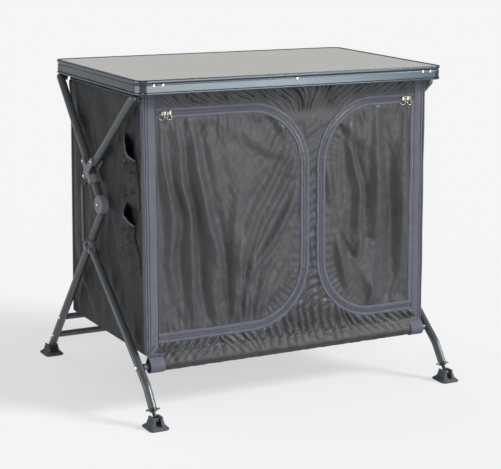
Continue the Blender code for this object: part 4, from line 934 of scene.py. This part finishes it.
def zip_teeth(side, inward):
    """Half of a coil: every second slanted bar, reaching a little past the middle."""
    name, sign = half_zip("teeth", side, inward)
    line = np.array(zip_line(side, 0.002))
    mesh = bmesh.new()
    length = line[-1, 4]
    start = TOOTH_PITCH * (0.5 if inward else 0.0)
    for run in np.arange(0.001 + start, length - 0.001, TOOTH_PITCH):
        x, z, nx, nz = (float(np.interp(run, line[:, 4], line[:, i])) for i in range(4))
        tx, tz = OUT[side] * nz, -OUT[side] * nx
        ends = []
        for across, slide in ((0.0035, TOOTH_SLANT), (-0.0004, -TOOTH_SLANT)):
            ring = []
            for wide, high in TOOTH_FORM:
                a = sign * across
                s = sign * slide + wide * TOOTH_WIDE / 2
                px, pz = x + nx * a + tx * s, z + nz * a + tz * s
                ring.append(mesh.verts.new((px, lean_y(pz) - 0.0005 - 0.0014 * high, pz)))
            ends.append(ring)
        for i in range(4):
            mesh.faces.new((ends[0][i], ends[0][i + 1], ends[1][i + 1], ends[1][i]))
        mesh.faces.new((ends[0][4], ends[0][0], ends[1][0], ends[1][4]))
        mesh.faces.new(ends[0])
        mesh.faces.new(ends[1])
    return finish_mesh(name, mesh, COIL)


BACKING_SECTION = [(0.0002, 0.0), (0.0002, 0.0004), (0.0030, 0.0004), (0.0050, 0.0002),
                   (0.0050, 0.0)]


def zip_backing(side, inward):
    """The woven tape that the teeth are sewn to, seen between them."""
    name, sign = half_zip("backing", side, inward)
    line = zip_line(side)
    rings = []
    for x, z, nx, nz, run in line:
        ring = []
        for across, proud in BACKING_SECTION:
            px, pz = x + nx * sign * across, z + nz * sign * across
            ring.append((px, lean_y(pz) - proud, pz))
        rings.append(ring)
    return swept(name, rings, [p[4] for p in line], section_widths(BACKING_SECTION), ZIP_TAPE)


zip_parts = {"top": [], "left": [], "right": []}
for side in DOORS:
    for inward in (False, True):
        body = "door_" + side if inward else "top"
        for maker in (zip_tape, zip_teeth, zip_backing):
            part = maker(side, inward)
            sew(part, body)
            zip_parts[side if inward else "top"].append(part)

# %% [markdown]
# ## Corner tapes
#
# The front's two upright corners are bound with a wide ribbed tape. It lies flat on the front,
# has a sewn line near its outer edge, and turns round a cord of piping onto the side.

# %% Corner tapes
def upright_strip(name, section, low, high, material, side, wave=0.0006, seed=70):
    """A section of (|x|, out of the front's plane), swept up the leaning front."""
    heights = steps_between(low, high, 0.006)
    rings = []
    for z in heights:
        spot = np.array([z])
        shift = float(wave * ripple(spot, spot * 0, seed, 0.16, 1.0)[0])
        rings.append([(side * (x + shift), lean_y(z) - out, z) for x, out in section])
    return swept(name, rings, list(heights), section_widths(section), material)


def corner_section(inner):
    """Outer face from the tape's inner edge round the corner to the side, then back inside."""
    outer = [(inner, 0.0003), (inner + 0.0006, 0.0015), (inner + 0.0020, 0.0020),
             (0.3782, 0.0021), (0.3786, 0.0007), (0.3796, 0.0007), (0.3800, 0.0023),
             (0.3846, 0.0024), (0.3850, 0.0008), (0.3860, 0.0008), (0.3864, 0.0023),
             (0.3886, 0.0018), (0.3898, 0.0002), (0.3900, -0.0022), (0.3900, -0.0130)]
    back = [(0.3885, -0.0130), (0.3883, -0.0003), (0.3870, 0.0002), (inner + 0.001, 0.0001)]
    return outer + back


def piping_section(radius, centre_x, centre_out):
    return [(centre_x + radius * math.cos(t), centre_out + radius * math.sin(t))
            for t in np.linspace(0, 2 * math.pi, 9)[:-1]]


CORNER_INNER = 0.3592
corner_pieces = []
for side, word in SIDES:
    tape = upright_strip("corner_tape_" + word, corner_section(CORNER_INNER), 0.147, 0.762, BINDING,
                         side)
    cord = upright_strip("corner_piping_" + word, piping_section(0.0022, 0.3894, 0.0012),
                         0.147, 0.760, BINDING, side, seed=71)
    corner_pieces += [tape, cord]
edge_strip = upright_strip("door_binding_right", [
    (0.3480, 0.0002), (0.3483, 0.0014), (0.3495, 0.0019), (0.3582, 0.0020), (0.3589, 0.0016),
    (0.3589, 0.0002)], 0.190, 0.712, BINDING, 1)
sew(edge_strip, "door_right")
zip_parts["right"].append(edge_strip)
for piece in corner_pieces:
    sew(piece)

# %% [markdown]
# ## Sides and back
#
# The sides and the back are a heavier cloth. They hang slack between the rail under the worktop
# and the floor of the cabinet, with long folds that start at the upper corners.

# %% Side and rear panels
SIDE_FOLDS = [
    ([(196, 735), (130, 600), (70, 470), (30, 330)], 16, 5.0),
    ([(175, 740), (95, 590), (20, 480)], 14, -4.0),
    ([(205, 700), (170, 520), (150, 300)], 14, 4.0),
    ([(60, 745), (20, 640), (-50, 560)], 16, 3.5),
    ([(-190, 740), (-150, 640), (-60, 560)], 14, -3.5),
    ([(-40, 470), (-110, 340), (-190, 220)], 16, 4.5),
    ([(60, 420), (20, 300), (-40, 180)], 18, -4.5),
    ([(190, 420), (150, 280), (60, 170)], 16, 4.0),
    ([(-180, 420), (-150, 300), (-170, 190)], 12, 3.0),
]


def side_relief(y, z, seed):
    edge = np.minimum(np.minimum(TOP_Z - 0.012 - z, z - BOTTOM_Z),
                      np.minimum(y - lean_y(z), REAR_Y - y))
    free = smooth_step(edge / 0.040)
    relief = 2.2 * creases(y, z, SIDE_FOLDS) + 0.0030 * ripple(y, z, seed, 0.08, 0.20)
    relief = np.tanh(relief / 0.0095) * 0.0095
    relief = relief + 0.00040 * ripple(y, z, seed + 1, 0.02, 0.03, 14)
    return relief * free


side_panels, side_trims = {}, {}
for sign, word in SIDES:
    def at_side(share, z, sign=sign, word=word):
        front_y = lean_y(z) + 0.002
        y = front_y + (rear_edge(z) - front_y) * share
        relief = side_relief(y, z, 80 if sign < 0 else 90)
        return sign * (HALF - 0.0002 + relief), y, z

    panel = make_sheet("side_cloth_" + word, np.linspace(0, 1, 110),
                       steps_between(BOTTOM_Z, TOP_Z - 0.002, 0.004), at_side, (sign, 0, 0), OXFORD)
    scale_flat(panel, SIDE_DEEP, 1.0)
    hang(panel, "top")
    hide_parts("fabric_side_" + word)
    side_panels[word] = panel
    stations = steps_between(-0.200, 0.212, 0.006)
    section = piping_section(0.0019, HALF + 0.0012, 0.7520)
    hem_line = swept("side_hem_" + word, [[(sign * x, y, z) for x, z in section] for y in stations],
                     list(stations), section_widths(section), BINDING)
    stations = steps_between(BOTTOM_Z + 0.003, 0.748, 0.006)
    section = piping_section(0.0020, HALF + 0.0008, 0.0006)
    cord = swept("rear_piping_" + word,
                 [[(sign * x, float(rear_edge(z)) + y, z) for x, y in section] for z in stations],
                 list(stations), section_widths(section), BINDING)
    side_trims[word] = [hem_line, cord]
    for piece in side_trims[word]:
        sew(piece)

REAR_FOLDS = [
    ([(-340, 740), (-250, 560), (-200, 360)], 20, 5.0),
    ([(-120, 745), (-90, 560), (-60, 300)], 22, 4.0),
    ([(20, 740), (0, 560), (40, 380)], 18, -5.0),
    ([(180, 745), (150, 600), (120, 380)], 20, 4.5),
    ([(340, 740), (260, 560), (230, 300)], 20, 5.0),
    ([(-300, 200), (-180, 330), (-40, 400)], 20, 3.5),
    ([(300, 200), (200, 320), (80, 380)], 20, -4.0),
]


def at_rear(x, z):
    edge = np.minimum(np.minimum(TOP_Z - 0.012 - z, z - BOTTOM_Z), HALF - np.abs(x))
    relief = creases(x, z, REAR_FOLDS) + 0.0025 * ripple(x, z, 101, 0.16, 0.35)
    relief = relief + 0.0004 * ripple(x, z, 102, 0.02, 0.04, 14)
    return x, rear_edge(z) - 0.0002 + relief * smooth_step(edge / 0.045), z


rear = make_sheet("rear_cloth", steps_between(-HALF + 0.001, HALF - 0.001, 0.0045),
                  steps_between(BOTTOM_Z, TOP_Z - 0.002, 0.0045), at_rear, (0, 1, 0), OXFORD)
hang(rear, "top")
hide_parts("fabric_rear")

# %% [markdown]
# ## Inside
#
# The floor and the shelf are cloth over a thin board, so they sag only a little. The divider
# hangs between the two halves and the shelf passes through a slot in it.

# %% Floor, shelf and divider
def inside_sheet(name, z, sag, seed):
    def lay(x, share):
        low = lean_y(z) + 0.012
        y = low + (REAR_Y - 0.009 - low) * share
        edge = np.minimum(np.minimum(share, 1 - share) * INSIDE_DEEP, HALF - 0.006 - np.abs(x))
        dip = sag * smooth_step(edge / 0.12) * (0.8 + 0.2 * ripple(x, y, seed, 0.2, 0.2))
        crumple = 0.0004 * ripple(x, y, seed + 1, 0.03, 0.03, 12)
        return x, y, z - dip + crumple

    piece = make_sheet(name, steps_between(-HALF + 0.006, HALF - 0.006, 0.008),
                       np.linspace(0, 1, 54), lay, (0, 0, 1), OXFORD, thick=0.0018)
    scale_flat(piece, 1.0, INSIDE_DEEP)
    hang(piece, "top")
    return piece


floor_cloth = inside_sheet("floor_cloth", 0.151, 0.0020, 111)
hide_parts("fabric_floor")
shelf_cloth = inside_sheet("shelf_cloth", 0.4575, 0.0030, 113)
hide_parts("shelf")


def at_divider(share, z):
    low = lean_y(z) + 0.010
    y = low + (REAR_Y - 0.010 - low) * share
    edge = np.minimum(np.minimum(0.762 - z, z - 0.160), np.abs(z - SHELF_Z))
    sway = 0.0020 * ripple(y, z, 121, 0.15, 0.25) * smooth_step(edge / 0.05)
    return DIVIDER_X + sway, y, z


divider = make_sheet("divider_cloth", np.linspace(0, 1, 60), steps_between(0.1545, 0.7655, 0.007),
                     at_divider, (1, 0, 0), OXFORD)
scale_flat(divider, INSIDE_DEEP, 1.0)
hang(divider, "top")
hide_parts("divider")

# %% [markdown]
# ## Hem and straps
#
# The front cloth ends in a tunnel round the front cross tube. A strap of the binding tape closes
# each end of the tunnel. Both belong to the legs: they move with the tube.

# %% Hem tunnel
HEM_SKIN = 0.0140


def hem_section():
    """Down the front face, round under the tube and up behind, as (y, z) points."""
    points = [(lean_y(0.1490) - 0.0014, 0.1490), (lean_y(0.1455) - 0.0030, 0.1455),
              (lean_y(0.1410) - 0.0066, 0.1410)]
    for turn in np.linspace(math.radians(140), math.radians(378), 28):
        points.append((BAR.y + HEM_SKIN * math.cos(turn), BAR.z + HEM_SKIN * math.sin(turn)))
    points.append((lean_y(0.1390) + 0.0040, 0.1390))
    return points


HEM_LINE = hem_section()
HEM_RUN = [0.0]
for a, b in zip(HEM_LINE, HEM_LINE[1:]):
    HEM_RUN.append(HEM_RUN[-1] + math.dist(a, b))
HEM_RUN = np.array(HEM_RUN)
HEM_Y = np.array([p[0] for p in HEM_LINE])
HEM_Z = np.array([p[1] for p in HEM_LINE])


def at_hem(x, run):
    y = np.interp(run, HEM_RUN, HEM_Y)
    z = np.interp(run, HEM_RUN, HEM_Z)
    away = np.hypot(y - BAR.y, z - BAR.z)
    slack = smooth_step(run / 0.004) * smooth_step((HALF - 0.02 - np.abs(x)) / 0.04)
    gather = np.exp(-(run / 0.020) ** 2)
    puff = 0.0032 * foot_pleats(x, 0.149 - run) * gather + 0.0008 * ripple(x, run, 133, 0.05, 0.03)
    puff = (puff + 0.0010) * slack * (0.5 + 0.5 * gather)
    y = y - 0.80 * swell(x) * smooth_step(1.0 - run / 0.020)
    return x, y + (y - BAR.y) / away * puff, z + (z - BAR.z) / away * puff


# The hem is cut from the darker taffeta, whose colour is a painted shade
hem = make_sheet("hem_cloth", steps_between(-HALF, HALF, 0.003), np.linspace(0, HEM_RUN[-1], 40),
                 at_hem, (0, -1, -1), SHADED_TAFFETA)
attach(hem, "front_legs")
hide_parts("hem_sleeve")


# %% Hem straps
def hem_strap(side, word):
    """A flat tape looped round the end of the hem, its tails sewn up the front."""
    outer, inner = 0.0166, 0.0155
    line = [(lean_y(0.1415) - 0.0072, 0.1415)]
    for turn in np.linspace(math.radians(132), math.radians(385), 22):
        line.append((BAR.y + outer * math.cos(turn), BAR.z + outer * math.sin(turn)))
    back = []
    for turn in np.linspace(math.radians(385), math.radians(132), 22):
        back.append((BAR.y + inner * math.cos(turn), BAR.z + inner * math.sin(turn)))
    back.append((lean_y(0.1415) - 0.0060, 0.1415))
    section = line + back
    xs = steps_between(0.3505, 0.3870, 0.003)
    rings = [[(side * x, y, z) for y, z in section] for x in xs]
    strap = swept("hem_strap_" + word, rings, list(xs), section_widths(section), BINDING)
    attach(strap, "front_legs")
    return strap


straps = [hem_strap(sign, word) for sign, word in SIDES]

# %% [markdown]
# ## Side pockets
#
# Two small pouches on the left side have mouths that slope down to the front. Their rims are
# bound with the ribbed tape and gape, and the cloth below hangs in soft crumpled folds.

# %% Pockets
# The mouth's front and rear ends as (y, z), and the height of the pouch's sewn foot
MOUTHS = {"upper": ((-0.178, 0.603), (-0.119, 0.662), 0.486),
          "lower": ((-0.173, 0.446), (-0.126, 0.499), 0.332)}
FOOT_FRONT, FOOT_REAR = -0.200, -0.086


def pocket_shape(u, v, word, seed):
    """Along the mouth from front to rear, and down from the mouth, both from 0 to 1."""
    front_end, rear_end, foot_z = MOUTHS[word]
    spread = smooth_step(v * 1.5)
    y = front_end[0] + (rear_end[0] - front_end[0]) * u
    y = y + (FOOT_FRONT + (FOOT_REAR - FOOT_FRONT) * u - y) * spread
    z = front_end[1] + (rear_end[1] - front_end[1]) * u
    z = z + (foot_z - z) * v
    wide = np.sin(np.pi * u)
    bulge = 0.0165 * wide ** 0.7 * np.cos(np.pi / 2 * np.clip(v, 0, 1)) ** 0.6
    gape = 0.0050 * wide * np.exp(-(v / 0.10) ** 2)
    free = smooth_step(np.minimum(np.minimum(u, 1 - u) / 0.18, (1 - v) / 0.2))
    free = free * smooth_step(v / 0.12 + 0.25)
    crumple = 0.0040 * ripple(y, z, seed, 0.040, 0.050) + 0.0012 * ripple(y, z, seed + 1, 0.014, 0.02)
    out = HALF + 0.0016 + side_relief(y, z, 80)
    return -(out + bulge + gape + crumple * free), y, z


def make_pocket(word, seed):
    name = "pocket_cloth_" + word
    pouch = make_sheet(name, np.linspace(0, 1, 48), np.linspace(0, 1, 60),
                       lambda u, v: pocket_shape(u, v, word, seed), (-1, 0, 0), OXFORD)
    scale_flat(pouch, 0.13, 0.15)
    # The inside face of the pouch is near black, a painted shade
    pouch.data.materials.append(POCKET_SHADE)
    one_side = 47 * 59
    for face in list(pouch.data.polygons)[one_side:2 * one_side]:
        face.material_index = 1
    hang(pouch, "top")
    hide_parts("pocket_" + word)
    stations = np.linspace(0.02, 0.98, 40)
    rings = []
    for u in stations:
        x, y, z = (float(c) for c in pocket_shape(np.array(u), np.array(0.0), word, seed))
        z += 0.0014 * math.sin(u * 23) * math.sin(math.pi * u)
        rings.append([(x + 0.0014 * math.cos(t), y - 0.0016 * math.sin(t),
                       z + 0.0032 * math.sin(t) - 0.0015)
                      for t in np.linspace(0, 2 * math.pi, 11)[:-1]])
    rim = swept(name + "_binding", rings, list(stations * 0.13),
                [i * 0.0018 for i in range(11)], BINDING)

    def behind(u, v):
        """The near black sheet of painted shade lies on the side panel, under the mouth."""
        x, y, z = pocket_shape(0.01 + 0.98 * u, 0.01 + 0.55 * v, word, seed)
        return -(HALF + side_relief(y, z, 80) + 0.0012), y, z

    mouth_shade = make_sheet(name + "_lining", np.linspace(0, 1, 24), np.linspace(0, 1, 16), behind,
                        (-1, 0, 0), POCKET_SHADE, thick=0.0004)
    for piece in (rim, mouth_shade):
        sew(piece)
    return pouch, [rim, mouth_shade]


pockets = [make_pocket("upper", 141), make_pocket("lower", 151)]


# %% [markdown]
# ## Rivets and screws
#
# Drawn rivets hold the edge profile to its corner pieces, small dark screws hold it at the sides,
# and one rivet shows where each cross tube meets a leg. A head is modelled once as a cylinder
# whose end is inset and raised into a dome, and then copied to each place.

# %% Fastener heads
def pick_faces(piece, wanted):
    """In edit mode, selects the faces that wanted() approves."""
    bpy.ops.mesh.select_mode(type="FACE")
    edit = bmesh.from_edit_mesh(piece.data)
    for face in edit.faces:
        face.select_set(bool(wanted(face)))
    edit.select_flush_mode()
    bmesh.update_edit_mesh(piece.data)


def model_head(name, radius, height, material, socket=0.0):
    bpy.ops.object.select_all(action="DESELECT")
    bpy.ops.mesh.primitive_cylinder_add(vertices=20, radius=radius, depth=height * 0.5,
                                        location=(0, 0, height * 0.25))
    piece = bpy.context.object
    piece.name = name
    bpy.ops.object.transform_apply(location=True, rotation=True, scale=True)
    bpy.ops.object.mode_set(mode="EDIT")
    pick_faces(piece, lambda face: face.normal.z > 0.9)
    for share, rise in ((0.30, 0.32), (0.34, 0.14), (0.40, 0.04)):
        bpy.ops.mesh.inset(thickness=radius * share * 0.8)
        bpy.ops.transform.translate(value=(0, 0, height * rise))
    if socket:
        bpy.ops.mesh.inset(thickness=radius * 0.02)
        bpy.ops.transform.translate(value=(0, 0, -socket))
    bpy.ops.object.mode_set(mode="OBJECT")
    bpy.ops.object.shade_smooth_by_angle(angle=math.radians(50))
    paint(piece, material)
    return piece


def stand_copy(master, name, place, direction, body):
    """A copy of a head with its own mesh, at a place, pointing along a direction."""
    turn = Vector(direction).to_track_quat("Z", "Y").to_matrix().to_4x4()
    copy = copy_turned(master, name, Matrix.Translation(place) @ turn)
    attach(copy, body)


rivet = model_head("rivet_pattern", 0.0030, 0.0016, RIVET)
screw = model_head("screw_pattern", 0.0022, 0.0010, NYLON, 0.0004)
large = model_head("leg_rivet_pattern", 0.0046, 0.0022, RIVET)

BAND_Z = 0.7875
BAND_Y = -0.2536
for k, x in enumerate((-0.3786, -0.3556, -0.003, 0.3581, 0.3806)):
    for sign, word in ((-1, "front"), (1, "rear")):
        stand_copy(rivet, "edge_rivet_%s_%d" % (word, k), (x, -sign * BAND_Y, BAND_Z),
                   (0, sign, 0), "top")
for k, y in enumerate((0.212, 0.030, -0.167)):
    for sign, word in SIDES:
        stand_copy(screw, "edge_screw_%s_%d" % (word, k), (sign * 0.4183, y, 0.7745),
                   (sign, 0, 0), "top")
bars = [("rear_crossbar_upper", "rear_legs"), ("rear_crossbar_lower", "rear_legs"),
        ("front_crossbar", "front_legs")]
for node, body in bars:
    low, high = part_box(node)
    middle = (low + high) / 2
    for sign, word in SIDES:
        stand_copy(large, "leg_rivet_%s_%s" % (node, word), (sign * 0.4198, middle.y, middle.z),
                   (sign, 0, 0), body)
HUB_RIVETS = {"top": (0.0636, 0.5679), "front": (0.0117, 0.5749), "rear": (0.0588, 0.5316)}
KNEE = (-0.020, 0.473)
for sign, word in SIDES:
    for spot, (y, z) in HUB_RIVETS.items():
        stand_copy(rivet, "hub_rivet_%s_%s" % (spot, word), (sign * 0.4248, y, z), (sign, 0, 0),
                   "rear_upper")
    face_x = max(abs(corner.x) for node in ("knee_upper_", "knee_lower_")
                 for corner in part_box(node + word))
    stand_copy(rivet, "knee_rivet_" + word, (sign * (face_x - 0.0004), *KNEE), (sign, 0, 0),
               "rear_upper")
for pattern in (rivet, screw, large):
    bpy.data.objects.remove(pattern)
print("fasteners placed")

# %% [markdown]
# ## Zip sliders and rings
#
# Each door has two sliders side by side, cast from zinc and nickel plated. A slider is a small
# bevelled body with a raised spine and an arch over it, and a round wire ring hangs in each arch.


# %% Sliders and rings
def join_as(name, pieces):
    bpy.ops.object.select_all(action="DESELECT")
    for piece in pieces:
        piece.select_set(True)
    bpy.context.view_layer.objects.active = pieces[0]
    bpy.ops.object.join()
    pieces[0].name = name
    bpy.ops.object.transform_apply(location=True, rotation=True, scale=True)
    bpy.ops.object.shade_smooth_by_angle(angle=math.radians(40))
    paint(pieces[0], NICKEL)
    return pieces[0]


def slider_body(x, y, z, wide, deep, high):
    """One slider about its middle: bevelled, with a spine raised on its front and an arch."""
    bpy.ops.mesh.primitive_cube_add(size=1, location=(x, y, z), scale=(wide, deep, high))
    body = bpy.context.object
    bpy.ops.object.transform_apply(location=True, rotation=True, scale=True)
    bpy.ops.object.mode_set(mode="EDIT")
    pick_faces(body, lambda face: face.normal.y < -0.9)
    bpy.ops.mesh.inset(thickness=wide * 0.26)
    bpy.ops.mesh.extrude_region_move(TRANSFORM_OT_translate={"value": (0, -0.0011, 0)})
    bpy.ops.mesh.select_all(action="SELECT")
    bpy.ops.mesh.bevel(offset=0.0005, segments=2, affect="EDGES")
    bpy.ops.mesh.normals_make_consistent(inside=False)
    bpy.ops.object.mode_set(mode="OBJECT")
    bpy.ops.mesh.primitive_torus_add(location=(x, y - deep / 2 - 0.0008, z + 0.0006),
                                     rotation=(0, math.radians(90), 0), major_radius=0.0031,
                                     minor_radius=0.0007, major_segments=20, minor_segments=8)
    return [body, bpy.context.object]


def wire_ring(name, x, y, z, swing):
    """A round ring hung from a point, turned a little about its hanging point."""
    radius, wire = 0.0070, 0.0012
    middle = (x + radius * math.sin(swing), y, z - 0.0030 - radius * math.cos(swing))
    bpy.ops.mesh.primitive_torus_add(location=middle, rotation=(math.radians(86), 0, swing),
                                     major_radius=radius, minor_radius=wire, major_segments=36,
                                     minor_segments=10)
    ring = bpy.context.object
    return join_as(name, [ring])


for side in DOORS:
    low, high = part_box("zip_sliders_" + side)
    middle, size = (low + high) / 2, high - low
    wide = size.x / 2
    made = []
    for k in (-1, 1):
        made += slider_body(middle.x + k * wide / 2, middle.y, middle.z, wide * 0.86, size.y, size.z)
    sliders = join_as("zip_slider_bodies_" + side, made)
    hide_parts("zip_sliders_" + side)
    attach(sliders, "zip_sliders_" + side)
    pull_low, pull_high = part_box("zip_pull_" + side)
    for k, swing in ((-1, -0.50), (1, 0.25)):
        ring = wire_ring("zip_ring_%s_%d" % (side, (k + 1) // 2), middle.x + k * wide / 2,
                         (pull_low.y + pull_high.y) / 2 - 0.0006 * k, pull_high.z, swing)
        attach(ring, "zip_pull_" + side)
        if k == 1:
            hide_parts("zip_pull_" + side)
    print("sliders", side, [round(c, 4) for c in size])

for side, flat in (("left", (0.402, 0.536)), ("right", (0.274, 0.536))):
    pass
for word, panel in side_panels.items():
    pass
